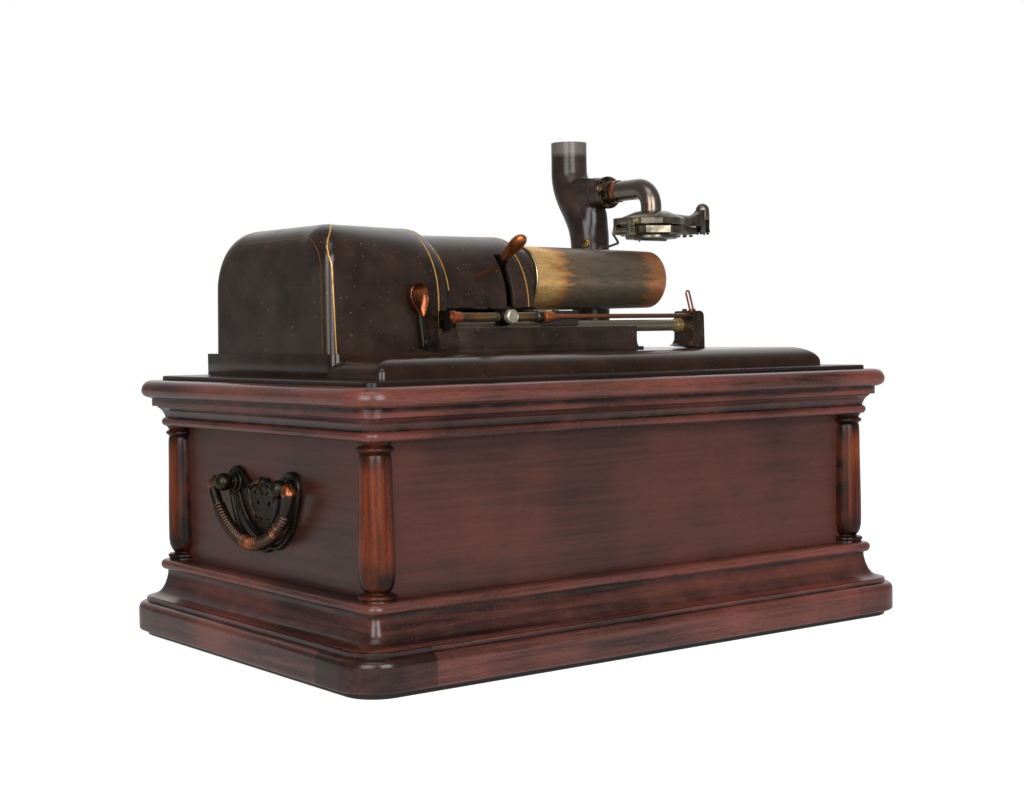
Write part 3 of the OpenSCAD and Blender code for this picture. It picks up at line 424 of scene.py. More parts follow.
# Black-brown japan baked on cast iron: deep gloss, a little orange peel, dust caught in the lacquer
def japan(name, dark, mid, rough, peel, dustShare=1.0, rubbed=0.0):
    finish, tree, shader, place = startFinish(name, {"IOR": 1.5})
    cloud = addNode(tree, "TexNoise", {"Scale": 1000 / 24, "Detail": 4.0, "Roughness": 0.6}, {"Vector": place})
    fine = addNode(tree, "TexNoise", {"Scale": 1000 / 2.2, "Detail": 2.0}, {"Vector": place})
    tone = layOver(tree, dark, mid, cloud, 0.35, 0.7)
    cells = addNode(tree, "TexVoronoi", {"Scale": 1000 / 3.4}, {"Vector": place}).outputs["Distance"]
    spot = addNode(tree, "MapRange", {"From Min": 0.15, "From Max": 0.04, "To Max": dustShare}, {"Value": cells})
    rare = addNode(tree, "TexNoise", {"Scale": 1000 / 9, "Detail": 2.0}, {"Vector": place})
    rare = addNode(tree, "MapRange", {"From Min": 0.47, "From Max": 0.68}, {"Value": rare})
    dust = addNode(tree, "Math", {"operation": "MULTIPLY"}, {0: spot, 1: rare})
    tone = addNode(tree, "Mix", {"data_type": "RGBA", 7: "#9a8e82"}, {0: dust, 6: tone})
    if rubbed:  # greyer above this height in metres
        height = addNode(tree, "SeparateXYZ", links={"Vector": place}).outputs[2]
        tone = layOver(tree, tone, "#766e67", height, rubbed - 0.002, rubbed + 0.002, 0.85)
    dress(tree, shader, tone, cloud, (rough - 0.05, rough + 0.07), relief=fine, strength=peel, depth=0.00015)
    return finish


# Old plated or bronzed metal: dark oxide film, bright metal where hands and sliding have rubbed it
def wornMetal(name, film, metal, worn, rough=0.36, patch=9.0, crest=False):
    finish, tree, shader, place = startFinish(name, {"Metallic": 0.92})
    cloud = addNode(tree, "TexNoise", {"Scale": 1000 / patch, "Detail": 4.0, "Roughness": 0.6}, {"Vector": place})
    fine = addNode(tree, "TexNoise", {"Scale": 1000 / 1.2, "Detail": 2.0}, {"Vector": place})
    share = addNode(tree, "MapRange", {"From Min": 0.62 - 0.3 * worn, "From Max": 0.78 - 0.3 * worn}, {"Value": cloud})
    if crest:  # rubbed bright on the raised parts only
        high = addNode(tree, "Attribute", {"attribute_name": "crest"}).outputs["Fac"]
        share = addNode(tree, "Math", {"operation": "MULTIPLY"}, {0: share, 1: high})
    tone = addNode(tree, "Mix", {"data_type": "RGBA", 6: film, 7: metal}, {0: share})
    tone = layOver(tree, tone, film, fine, 0.45, 0.75, 0.35)
    dress(tree, shader, tone, cloud, (rough + 0.12, rough - 0.06), relief=fine, strength=0.12, depth=0.00006)
    return finish


# Metal whose colour changes along X from low to high, the change broken up by rubbing
def bandedMetal(name, low, high, stops, rough, jitter, stretch, film, scuffShare=0.5, metallic=0.9):
    finish, tree, shader, place = startFinish(name, {"Metallic": metallic})
    xyz = addNode(tree, "SeparateXYZ", links={0: place}).outputs
    along = addNode(tree, "MapRange", {"From Min": low / 1000, "From Max": high / 1000}, {"Value": xyz[0]})
    laid = addNode(tree, "Mapping", {"Scale": [1000 / (6 * s) for s in stretch]}, {"Vector": place})
    wear = addNode(tree, "TexNoise", {"Scale": 1.0, "Detail": 5.0, "Roughness": 0.65, "Distortion": 0.3},
                   {"Vector": laid})
    push = addNode(tree, "MapRange", {"From Min": 0.2, "From Max": 0.8, "To Min": -jitter, "To Max": jitter},
                   {"Value": wear})
    along = addNode(tree, "Math", {"operation": "ADD"}, {0: along, 1: push})
    ramp = addNode(tree, "ValToRGB", links={0: along})
    setStops(ramp, stops)
    laid = addNode(tree, "Mapping", {"Scale": [1000 / (2.5 * s) for s in stretch]}, {"Vector": place})
    scuff = addNode(tree, "TexNoise", {"Scale": 1.0, "Detail": 4.0, "Roughness": 0.7}, {"Vector": laid})
    tone = layOver(tree, ramp, film, scuff, 0.5, 0.75, scuffShare)
    dress(tree, shader, tone, scuff, (rough - 0.07, rough + 0.1), relief=scuff, strength=0.1, depth=0.00005)
    return finish


# Gold size line drawn with a brush: warm and thin, broken where it has rubbed
def giltLine(name, gold, rubbed):
    finish, tree, shader, place = startFinish(name, {"Metallic": 0.4, "IOR": 1.5})
    gaps = addNode(tree, "TexNoise", {"Scale": 1000 / 6, "Detail": 4.0, "Roughness": 0.7}, {"Vector": place})
    dress(tree, shader, layOver(tree, gold, rubbed, gaps, 0.52, 0.7), gaps, (0.32, 0.5))
    return finish


# Oak-tanned leather belt: dry, brown, fibrous along its length
def beltLeather(name):
    finish, tree, shader, place = startFinish(name, {"IOR": 1.45})
    laid = addNode(tree, "Mapping", {"Scale": (1000 / 1.5, 1000 / 4.5, 1000 / 4.5)}, {"Vector": place})
    fibre = addNode(tree, "TexNoise", {"Scale": 1.0, "Detail": 4.0, "Roughness": 0.6}, {"Vector": laid})
    tone = addNode(tree, "Mix", {"data_type": "RGBA", 6: "#4a2f1d", 7: "#6d4a2e"}, {0: fibre})
    dress(tree, shader, tone, fibre, (0.55, 0.85), (0, 1), fibre, 0.3, 0.0002)
    return finish


# Split mica: pale amber and flaky
def micaSheet(name):
    finish, tree, shader, place = startFinish(name, {"IOR": 1.58})
    flake = addNode(tree, "TexNoise", {"Scale": 1000 / 6, "Detail": 3.0}, {"Vector": place})
    tone = addNode(tree, "Mix", {"data_type": "RGBA", 6: "#c6b088", 7: "#d9cba8"}, {0: flake})
    dress(tree, shader, tone, flake, (0.12, 0.3), (0, 1))
    return finish


caseWood = mahogany("stainedMahogany", "#2e1b19", "#5e3933", "#884a3f", "round", 0.22, 0.6)
panelWood = mahogany("panelMahogany", "#331c18", "#472722", "#643429", "round", 0.33, 0.55)
columnWood = mahogany("redMahogany", "#2e1008", "#702c12", "#92441b", "upright", 0.26, 0.7, 2.6, 0.3)
# near-black: the top strip is ebonised, the foot frame wears it as painted shadow under the plinth
stripWood = mahogany("ebonisedMahoganyAndFootShadow", "#160d0b", "#2a1815", "#3a1d17", "round", 0.28, 0.3)
blackJapan = japan("blackBrownJapan", "#241914", "#3a2a22", 0.22, 0.12)
bedJapan = japan("brownJapan", "#23150f", "#382318", 0.17, 0.05, 0.4)
castJapan = japan("japannedCasting", "#281d19", "#403029", 0.24, 0.35, 0.6, 0.346)
gilt = giltLine("giltPinstripe", "#dca452", "#8a6030")
giltFaint = giltLine("faintPinstripe", "#6e5230", "#33261a")
handleBronze = wornMetal("oxidisedBronze", "#3a352e", "#8a5236", 0.06, 0.3)
gripBronze = wornMetal("rubbedBronzeGrip", "#3d3630", "#c8734a", 0.85, 0.3, patch=9, crest=True)
copperPlate = wornMetal("rubbedCopper", "#4e2d1e", "#a8623d", 1.0, 0.3)
spoonBronze = wornMetal("brownedCopper", "#3a2318", "#8e5030", 0.7, 0.24)
knobCopper = wornMetal("warmCopper", "#7a4526", "#c97a48", 1.0, 0.36)
ironRim = wornMetal("wornIronRim", "#2a2420", "#8d7a60", 0.55, 0.32, patch=5)
blackIron = wornMetal("blackIron", "#1b1715", "#3c322b", 0.4, 0.45)
steelDull = wornMetal("dullSteel", "#5d554a", "#a39a8a", 0.9, 0.34)
steelBlue = wornMetal("bluedSteel", "#3c434f", "#596271", 0.8, 0.3)
plateIron = wornMetal("machinedIron", "#332f2b", "#5a544c", 0.7, 0.42)
brassAged = wornMetal("agedBrass", "#5a4526", "#a98a4d", 0.9, 0.34)
brassPale = wornMetal("paleBrass", "#a08a5c", "#d9c79a", 1.0, 0.3)
nickelAged = wornMetal("agedNickel", "#585247", "#9a907d", 0.8, 0.24, patch=16)
nickelButton = wornMetal("creamNickel", "#a89a7c", "#e2d8c0", 1.0, 0.35, patch=4)
tubeBronze = wornMetal("darkBronzeTube", "#857a70", "#a0694a", 0.1, 0.26)
mandrelBronze = bandedMetal("wornMandrelBronze", -1, 124, [
    (0.0, "#ecbb78"), (1.0, "#c6855a"), (0.13, "#f4c480"), (0.2, "#dc9a5c"), (0.26, "#86745f"), (0.6, "#776d5d"),
    (0.82, "#7e6b55"), (0.9, "#bc8056")], 0.3, 0.12, (4, 0.7, 0.7), "#221b15", 0.68, 0.6)
rodCopper = bandedMetal("rubbedStopRod", -104, 120, [
    (0.0, "#3a302a"), (1.0, "#6a5040"), (0.035, "#c07048"), (0.062, "#c07048"), (0.075, "#5e5243"), (0.13, "#9a7048"),
    (0.18, "#6c6450"), (0.24, "#a8834d"), (0.33, "#5c5140"), (0.36, "#3a302a"), (0.372, "#c67646"), (0.42, "#b06a40"),
    (0.6, "#966040")], 0.28, 0.004, (2, 1, 1), "#4a3f35", 0.4, 0.75)
guideSteel = bandedMetal("streakedGuideRod", -90, 128, [
    (0.0, "#857a6d"), (1.0, "#b9a26a"), (0.5, "#9a8e7d"), (0.88, "#a39683"), (0.9, "#c8b27e")], 0.28, 0.02,
    (10, 1, 1), "#5e554a", 0.6, 0.75)
leather = beltLeather("beltLeather")
mica = micaSheet("splitMica")
cadFinish = [
    (panelWood, ["front_panel", "back_panel", "left_panel", "right_panel"]),
    (blackIron, ["sleeve_bracket", "outer_bracket", "hood_bracket", "brake_arm"]),
    (steelDull, ["mandrel_shaft", "feed_pivot", "motor_pillars", "winding_arbor", "ratchet_click", "stylus"]),
    (steelBlue, ["mainspring", "governor_springs"]), (plateIron, ["motor_plates", "motor_pulley"]),
    (brassAged, ["drive_sleeve", "spring_barrel", "second_arbor", "drive_arbor", "governor_shaft", "governor_weights"]),
    (leather, ["drive_belt"]), (mica, ["diaphragm"]),
]
for finish, names in cadFinish:
    for name in names:
        mesh = cadNodes[name].data
        mesh.materials.clear()
        mesh.materials.append(finish)
print("finishes made")

caseSize = {"width": 402, "depth": 250, "corner": 4.2, "turnSteps": 8, "low": 52.1, "high": 145.2,
            "fullHollow": 0.55, "stain": 0.8, "stainElsewhere": 0.4, "stainEnd": 25}


def finerLine(profile, step):  # open line with no piece longer than step
    out = []
    for a, b in zip(profile, profile[1:]):
        n = max(1, ceil(dist(a, b) / step))
        out += [(a[0] + (b[0] - a[0]) * i / n, a[1] + (b[1] - a[1]) * i / n) for i in range(n)]
    return out + [profile[-1]]


# this recess measure sets the painted shade in the mouldings' hollows
def hollows(line, reach):  # 1 in a recess of the line, 0 where it is flat or stands proud
    out = []
    for i, p in enumerate(line):
        a, b = line[max(i - reach, 0)], line[min(i + reach, len(line) - 1)]
        run = Vector((b[0] - a[0], b[1] - a[1]))
        deep = ((a[0] + b[0]) / 2 - p[0]) * run.y - ((a[1] + b[1]) / 2 - p[1]) * run.x
        out.append((p, min(max(deep / max(run.length, 0.01) / caseSize["fullHollow"], 0), 1)))
    return out


def roundTheCase(profile, stained):  # closed profile of (out from the panels, height), carried round the four sides
    halves = (caseSize["width"] / 2, caseSize["depth"] / 2)
    c, steps = caseSize["corner"], caseSize["turnSteps"]
    profile = profile[:1] + finerLine(profile[1:-1], 1.2) + profile[-1:]
    share = [max([d * (1 - dist(p, q)) for q, d in outside], default=0) for p in profile]
    share = [max(level, 0) for level in share]
    rings, stains = [], []
    for k in range(4):
        a, b = (halves[0], halves[1]) if k % 2 == 0 else (halves[1], halves[0])
        far, near = caseSize["stainEnd"], caseSize["stainEnd"] - 1
        places = [(0, far, 0), (0, near, 1)] + [(i / steps, 0, 1) for i in range(steps + 1)]
        places += [(1, near, 1), (1, far, 0)]
        for part, back, dark in places:  # turn of the corner, distance back along the side, stained or not
            turn = pi / 2 * part
            spots = []
            for out, z in profile:
                r = max(out - c, 0)
                x, y = a + min(out, c) + r * cos(turn), b + min(out, c) + r * sin(turn)
                x, y = x - back * part, y - back * (1 - part)
                spots.append(Matrix.Rotation(pi / 2 * k, 4, "Z") @ Vector((x, y, z)))
            rings.append(spots)
            level = 1 if k == 2 else caseSize["stainElsewhere"]  # the front left corner has darkened most
            stains.append(dark * stained * level)
    bm = bmesh.new()
    grime = bm.verts.layers.float.new("grime")
    # each vertex takes painted shade from the profile's recesses, or the corner stain where that is darker
    for loop, stain in zip(skin(bm, rings, closed=True), stains):
        for edge, level in zip(loop, share):
            edge.verts[0][grime] = max(level, stain)
    return bm


mouldings = {  # node replaced, then the profile: distance out from the panel face, height
    "footFrame": ("foot_frame", [(-12, 0), (24.4, 0), (25, 0.6), (25, 4), (-12, 4)]),
    "plinthFrame": ("plinth_frame", [(0, 4), (30.2, 4), (31, 4.8)] + arcPoints(26.2, 18.7, 4.8, 0, 90, 8)
                    + [(25.6, 23.7), (25.4, 24), (25.4, 26.2), (25.1, 26.5), (0, 26.5)]),
    "baseMoulding": ("base_moulding", [(0, 26.5), (23.6, 26.5)] + smoothLine(
        [(24, 26.8), (20.1, 27.9), (16.6, 29.7), (13.7, 33.2), (11.7, 37.9), (10.6, 42.4), (10.5, 45)], 3)
        + [(10.7, 45.1)] + arcPoints(11.6, 48.6, 3.5, -90, 90, 12) + [(0, 52.1)]),
    "corniceMoulding": ("cornice_moulding", [(0, 145.2)] + arcPoints(9.5, 148.2, 3, -90, 60, 10) + [(10.3, 151.3)]
                        + smoothLine([(10, 151.6), (10.8, 153.5), (12.3, 156), (15, 158.2)], 3)
                        + [(15.2, 158.5), (15.2, 159.3), (0, 159.3)]),
    "topFrame": ("top_frame", [(-22, 159.3), (18.7, 159.3), (19, 159.6), (19, 164.4)] + smoothLine(
        [(19.3, 164.7), (21.3, 165.2), (24, 166.3), (25.5, 168), (26, 170), (25.7, 172), (24.6, 174.3),
         (22.5, 176.2), (20, 177)], 3) + [(-22, 177)]),
    "topStrip": ("top_strip", [(-22, 177), (11.2, 177), (11.2, 179.3), (10.5, 180), (-22, 180)]),
}
between = {"corniceMoulding": [(0, caseSize["low"]), (0, caseSize["high"])]}  # the panel stands back there
outside = []
for name, (node, profile) in mouldings.items():
    outside += between.get(name, []) + profile[1:-1]
outside = hollows(finerLine(outside, 1.0), 4)
for name, (node, profile) in mouldings.items():
    # the foot frame's near-black is painted shadow under the plinth; the top strip is really ebonised
    wood = (stripWood, "ebonised_wood") if name in ("topStrip", "footFrame") else (caseWood, "mahogany_dark")
    stained = caseSize["stain"] if name == "plinthFrame" else 0
    finishPiece(name, roundTheCase(profile, stained), "frame", wood[0], (node,), smooth=28)

column = {"radius": 10.7, "low": caseSize["low"], "high": caseSize["high"], "steps": 30,
          "shadeTo": 13, "shadeFade": 17, "shadeTurn": 62, "turnFade": 40}  # painted shade: mm from the ends, degrees from the corner


def cornerColumns():
    r, low, high = column["radius"], column["low"], column["high"]
    profile = [(0, low), (r + 0.2, low)] + arcPoints(r - 0.8, low + 2.6, 1.6, -70, 75, 8)
    profile += smoothLine([(r - 3.4, low + 4.7), (r - 3.4, low + 5.3), (r - 1.7, low + 7.4), (r - 0.6, low + 10.5),
                           (r, low + 16), (r - 0.1, low + 34), (r - 0.7, low + 62), (r - 1.1, high - 10),
                           (r - 2.1, high - 7.8)], 4)
    profile += arcPoints(r - 0.9, high - 4.6, 1.4, -80, 75, 8) + [(r - 1.6, high - 2.6), (r, high), (0, high)]
    bm = bmesh.new()
    for x in (-1, 1):
        for y in (-1, 1):
            centre = Vector((x * caseSize["width"] / 2, y * caseSize["depth"] / 2, 0))
            start = Vector((0, -y, 0)) if x * y > 0 else Vector((-x, 0, 0))
            edges = loopOf(bm, [centre + start * a + Vector((0, 0, h)) for a, h in profile])
            geom = edges + cornersOf(edges)
            geom += ops.contextual_create(bm, geom=edges)["faces"]
            ops.spin(bm, geom=geom, cent=centre, axis=(0, 0, 1), dvec=(0, 0, 0), angle=radians(270),
                           steps=column["steps"])
    grime = bm.verts.layers.float.new("grime")
    for v in bm.verts:  # painted shade at both ends, over the dark rings, and where the column meets the panels
        x, y = abs(v.co.x) - caseSize["width"] / 2, abs(v.co.y) - caseSize["depth"] / 2
        turn = degrees(atan2(abs(y - x), x + y))
        ends = 1 - (min(v.co.z - low, 1.5 * (high - v.co.z)) - column["shadeTo"]) / column["shadeFade"]
        v[grime] = min(max(ends, (turn - column["shadeTurn"]) / column["turnFade"], 0), 1)
    return bm


finishPiece("cornerColumns", cornerColumns(), "frame", columnWood, ("corner_columns",))
print("case built")

handle = {
    "face": 201, "y": 6.7, "z": 111.6, "halfGap": 36.5, "ball": 5.9, "out": 11, "thick": 1.7,
    "rims": [(1.7, 1.6, 1.7), (5.0, 0.9, 1.5)],  # distance in from the outline, radius, height
    "outline": [(0, 3.4), (4, 4.6), (7.5, 2.8), (11, 2.4), (15, 0.8), (18.6, 2), (23, 5), (28, 8.4), (32.5, 10),
                (37, 10.2), (42, 8.6), (45.4, 5), (46.5, 0), (45.2, -8), (42.8, -15), (40, -22),
                (35.4, -29.8), (27.4, -36.6), (18, -40.8), (10, -41), (4.6, -43.4), (0, -44)],
    "leaves": [(24, -17.6, 4.6, 1.5, 42), (31.5, -7.5, 3.8, 1.2, 62), (14, -18.5, 1.6, 1.3, 0), (7, -12, 2.2, 1.1, 30),
               (9.3, -27, 3.4, 1.4, 14)],  # piercings: place, half length, half width, turn
    "ribs": [[(3, -36), (13, -31), (22.3, -24.5), (29.8, -14.5), (34.4, -3)],
             [(3, -22.5), (11, -22.5), (18, -14), (20.4, -4), (27, 4)],
             [(2, -6), (7.4, -2.5), (13, -5), (12, -11)], [(35.4, 4.6), (39, 6.6), (42.6, 3), (40, 0)]],
    "rings": 40, "reedAngle": 52, "pin": 2.5, "arm": 3.7, "crest": 4.6, "groove": 3.6, "small": 5, "drop": 37.1,
    "rubbed": [(-12, 10, 1.0), (-43, -33, 0.8)],  # reeding worn bright: from and to in degrees off the bottom, share
}


def handlePlace(side):  # drawn flat, then stood against one end of the case
    return facingX(side * handle["face"], handle["y"], handle["z"]) @ Matrix.Diagonal((1, 1, side, 1))


def handlePlates():
    half = smoothLine(handle["outline"], 4)
    outline = half + [(-u, v) for u, v in half[-2:0:-1]]
    holes = []
    for s in (-1, 1):
        for u, v, long, wide, turn in handle["leaves"]:
            turn = radians(turn) * s
            ring = [(long * cos(t), wide * sin(t)) for t in [2 * pi * k / 14 for k in range(14)]]
            holes.append([(s * u + a * cos(turn) - b * sin(turn), v + a * sin(turn) + b * cos(turn))
                          for a, b in ring])
    bm = bmesh.new()
    filled(bm, [outline] + holes, handle["thick"], Matrix())
    softEdges(bm, 0.35, 1)
    for depth, r, lift in handle["rims"]:
        rim = [(u, v, lift) for u, v in insetLine(outline, depth)]
        skin(bm, tubeRings(rim + rim[:2], [r] * (len(rim) + 2), 8)[1:-1], closed=True)
    for s in (-1, 1):
        for rib in handle["ribs"]:
            path = [(s * u, v, handle["thick"]) for u, v in smoothLine(rib, 6)]
            size = [0.5 + 1.5 * sin(pi * min(1, 0.12 + 0.9 * i / len(path))) for i in range(len(path))]
            skin(bm, tubeRings(path, size, 8, 0.8))
    flat = bm.verts[:]
    twin = [v for v in ops.duplicate(bm, geom=bm.faces[:])["geom"] if isinstance(v, bmesh.types.BMVert)]
    ops.transform(bm, matrix=handlePlace(-1), verts=flat)
    ops.transform(bm, matrix=handlePlace(1), verts=twin)
    return bm


def handlePosts():
    profile = [(0, 1), (7.6, 1)] + arcPoints(7, 2.2, 1.0, -70, 90, 5) + [(5, 3.4)]
    profile += arcPoints(5.2, 4.4, 0.9, -80, 80, 5) + [(4, 5.4)]
    profile += arcPoints(0, handle["out"], handle["ball"], -50, 90, 16)
    profile[-1] = (0, handle["out"] + handle["ball"])
    bm = bmesh.new()
    for side in (-1, 1):
        for s in (-1, 1):
            spot = (side * handle["face"], handle["y"] + s * handle["halfGap"], handle["z"])
            turned(bm, profile, spot, (side, 0, 0), 28)
    return bm


def bail(side):
    small, drop, gap = handle["small"], handle["drop"], handle["halfGap"]
    turnY = gap + 9
    big = (turnY * turnY + drop * drop - 2 * small * drop) / 2 / (drop - 2 * small)
    swing = atan2(turnY, big - drop + small)
    reed = radians(handle["reedAngle"])
    half = [(gap + 5.8, 0, handle["pin"]), (gap + 7.4, 0, handle["pin"] + 0.3)]  # out, up, radius
    for i in range(15):  # elbow, swollen where it turns
        turn = pi / 2 - (pi - swing) * i / 14
        half.append((turnY + small * cos(turn), -small + small * sin(turn),
                     handle["arm"] + 1.1 * sin(pi * min(1, i / 11))))
    count = handle["rings"] * 5 // 2
    turns = [swing + (reed - swing) * i / 7 for i in range(1, 7)] + [reed - reed * i / count for i in range(count + 1)]
    for i, turn in enumerate(turns):
        wave = abs(sin(pi * (i - 6) / 5))
        r = handle["groove"] + (handle["crest"] - handle["groove"]) * wave if i > 5 else handle["arm"] + 0.1
        half.append((big * sin(turn), big - drop - big * cos(turn), r))
    line = half + [(-u, v, r) for u, v, r in half[-2::-1]]
    bm = bmesh.new()
    high = bm.verts.layers.float.new("crest")
    x = side * (handle["face"] + handle["out"])
    spots = [(x, handle["y"] + u, handle["z"] + v) for u, v, r in line]
    for loop, (u, v, r) in zip(skin(bm, tubeRings(spots, [r for u, v, r in line], 18)), line):
        angle = degrees(atan2(u, big - drop - v))
        share = sum(level for low, top, level in handle["rubbed"] if low < angle < top) + 0.12
        proud = (r - handle["groove"]) / (handle["crest"] - handle["groove"])
        if v > -3.2:
            share, proud = (0.95 if u < 0 else 0.3), 1  # both elbows worn, the nearer one painted brighter as its highlight
        for vert in {vert for e in loop for vert in e.verts}:
            vert[high] = min(max(share * proud, 0), 1)
    return bm


finishPiece("handlePlates", handlePlates(), "frame", handleBronze, ("handle_plates",), smooth=40)
finishPiece("handlePosts", handlePosts(), "frame", handleBronze, ("handle_posts",))
finishPiece("bailLeft", bail(-1), "bail_left", gripBronze, ("bail_left",), smooth=50)
finishPiece("bailRight", bail(1), "bail_right", gripBronze, ("bail_right",), smooth=50)
print("handles built")

bed = {"x": 3.2, "width": 381.6, "depth": 220, "low": 180, "top": 193.5, "corner": 5, "edge": (19, 11),
       "slot": (-116, -96, -32, 32), "sill": (-187.7, -92, -56, 110.1), "sillTop": 195, "sillRound": 7}


def roundedRing(inset, z):
    ring = []
    r = max(bed["corner"] - 0.2 * inset, 1)
    for k, (sx, sy) in enumerate(((1, 1), (-1, 1), (-1, -1), (1, -1))):
        cx, cy = bed["x"] + sx * (bed["width"] / 2 - inset - r), sy * (bed["depth"] / 2 - inset - r)
        ring += [(x, y, z) for x, y in arcPoints(cx, cy, r, 90 * k, 90 * k + 90, 8)]
    return ring


def bedplate():
    x0, x1, y0, y1 = bed["slot"]
    slot = [(x0, y0), (x1, y0), (x1, y1), (x0, y1)]
    bm = bmesh.new()
    (across, down), low, top = bed["edge"], bed["low"], bed["top"]
    rings = [roundedRing(0, low)]
    rings += [roundedRing(across - across * cos(t), top - down + down * sin(t))
              for t in [pi / 2 * i / 12 for i in range(13)]]
    loops = skin(bm, rings, caps=False)
    cuts = [loopOf(bm, [(x, y, z) for x, y in slot]) for z in (low, top)]
    ops.triangle_fill(bm, use_beauty=True, edges=loops[0] + cuts[0])
    ops.triangle_fill(bm, use_beauty=True, edges=loops[-1] + cuts[1])
    ops.bridge_loops(bm, edges=cuts[0] + cuts[1])
    sill = bmesh.new()
    a, b, c, d = bed["sill"]
    r = bed["sillRound"]
    line = arcPoints(a + r, c + r, r, 180, 270, 8) + [(b, c), (b, d), (a, d)]
    filled(sill, [line, slot], bed["sillTop"] - low - 0.2, Matrix.Translation((0, 0, low + 0.2)))
    softEdges(sill, 1.8, 3)
    pourInto(bm, sill)
    return bm


finishPiece("bedplate", bedplate(), "frame", bedJapan, ("bedplate",), smooth=30)

cover = {"x0": -184.3, "x1": -92, "low": 195, "front": -45, "top": 277.7, "shoulder": (28, 51),
         "back": (70, 239.7, 38), "endRound": (7, 18, 11, 9), "wall": 3, "flatRing": 3}
hood = {"y": 10.5, "z": 225, "r": 49, "x0": -92, "x1": -15, "low": 222.6, "foot": 193.5, "slot": (-39, -33),
        "slotTop": 260.1, "wall": 3, "lip": 1.1}


def coverLine(x):  # front foot, over the top, to the back foot: y, z, way out, rounding of the left end
    front, top, (by, bz, br), low = cover["front"], cover["top"], cover["back"], cover["low"]
    small, big = cover["shoulder"]
    near, over, behind, foot = cover["endRound"]
    ease = min(max((x - cover["x0"] - 18) / (cover["x1"] - cover["x0"] - 18), 0), 1)
    r = small + (big - small) * ease
    line = [(front, low + (top - r - low) * i / 6, (-1, 0), near) for i in range(6)]
    for i, (y, z) in enumerate(arcPoints(front + r, top - r, r, 180, 90, 22)):
        t = radians(180 - 90 * i / 22)
        line.append((y, z, (cos(t), sin(t)), near + (over - near) * i / 22))
    line += [(front + r + (by - front - r) * i / 8, top, (0, 1), over) for i in range(1, 8)]
    for i, (y, z) in enumerate(arcPoints(by, bz, br, 90, 0, 18)):
        t = radians(90 - 90 * i / 18)
        line.append((y, z, (cos(t), sin(t)), over + (behind - over) * i / 18))
    return line + [(by + br, bz + (low - bz) * i / 6, (1, 0), behind + (foot - behind) * i / 6) for i in range(1, 7)]


def coverEnd(turn):  # ring on the rounded left end, 0 where the sides begin and 90 on the flat
    s, c = sin(radians(turn)), cos(radians(turn))
    return [(cover["x0"] + r - r * s, y - p * (r - r * c), z - q * (r - r * c))
            for y, z, (p, q), r in coverLine(cover["x0"])]


def gearCover():
    bm = bmesh.new()
    x0, x1 = cover["x0"], cover["x1"]
    inner = cover["flatRing"]
    flat = [(x0, y - p * (r + inner), z - q * (r + inner)) for y, z, (p, q), r in coverLine(x0)]  # keeps the end flat
    rings = [flat] + [coverEnd(90 - 9 * i) for i in range(11)]
    for x, inset in [(x0 + a, 0) for a in (24, 36, 50, 64, 78)] + [(x1 - 2.2, 0), (x1 - 0.7, 0.6), (x1, 2.1)]:
        rings.append([(x, y - p * inset, z - q * inset) for y, z, (p, q), r in coverLine(x)])
    loops = skin(bm, rings, loose=True)
    ends = [loops[0][0].verts[0], loops[0][-1].verts[1]]
    ops.triangle_fill(bm, use_beauty=True, edges=loops[0] + [bm.edges.new(ends)])
    r = hood["r"] - hood["wall"]
    half = degrees(acos((hood["z"] - cover["low"]) / r))
    mouth = arcPoints(hood["y"], hood["z"], r, half - 90, 270 - half, 40)  # opening into the hood
    inner = loopOf(bm, [(x1, y, z) for y, z in mouth], False)
    first, last = loops[-1][0].verts[0], loops[-1][-1].verts[1]
    sides = [bm.edges.new((last, inner[0].verts[0])), bm.edges.new((inner[-1].verts[1], first))]
    ops.triangle_fill(bm, use_beauty=True, edges=loops[-1] + inner + sides)
    return bm


def mandrelHood():
    y, z, r = hood["y"], hood["z"], hood["r"]
    start = 180 + degrees(asin((z - hood["low"]) / r))
    cut = 180 - degrees(asin((hood["slotTop"] - z) / r))
    line = arcPoints(y, z, r, start, cut, 12) + arcPoints(y, z, r, cut, 0, 36)[1:]
    line += [(y + r, z + (hood["foot"] - z) * i / 4) for i in range(1, 5)]
    a, b = hood["slot"]
    bm = bmesh.new()
    spots = [hood["x0"], -66, a, b, -22, hood["x1"] - 0.5, hood["x1"]]
    rings = []
    for k, x in enumerate(spots):
        shrink = 0.992 if k == len(spots) - 1 else 1
        rings.append([(x, y + (p - y) * shrink, z + (q - z) * shrink if q > z else q) for p, q in line])
    skin(bm, rings, loose=True)
    middles = [(f, f.calc_center_median()) for f in bm.faces]
    gone = [f for f, m in middles if a < m.x < b and m.y < y and m.z < hood["slotTop"] - 0.3]
    ops.delete(bm, geom=gone, context="FACES")
    return bm


finishPiece("gearCover", gearCover(), "frame", blackJapan, ("gear_cover",), smooth=30,
            wall=cover["wall"])
finishPiece("mandrelHood", mandrelHood(), "frame", blackJapan, ("mandrel_hood",), smooth=30,
            wall=hood["wall"], edge=0.6)


def hoodLip():  # half-round bead along the hood's lower front edge
    bm = bmesh.new()
    y = hood["y"] - hood["r"] + 0.9
    path = [(x, y, hood["low"] + 0.7) for x in (hood["x0"] - 0.2, -76, -58, -40, -26, hood["x1"] + 0.3)]
    tube(bm, path, hood["lip"], 14)
    return bm


finishPiece("hoodLip", hoodLip(), "frame", ironRim)

stripe = {"width": 0.8, "lift": 0.1, "endTurn": 78, "endDrift": 1.6, "coverX": -99.5,
          "hood": ((-86, 168), (-20.5, 181)), "hoodEnd": 10,  # hood: x and the angle it starts at
          "leftX": [(0, -177.5), (6, -179.4), (10, -180.4), (13, -179.8), (16, -177.4), (20, -172.4),
                    (24, -168), (28, -165), (60, -172)]}


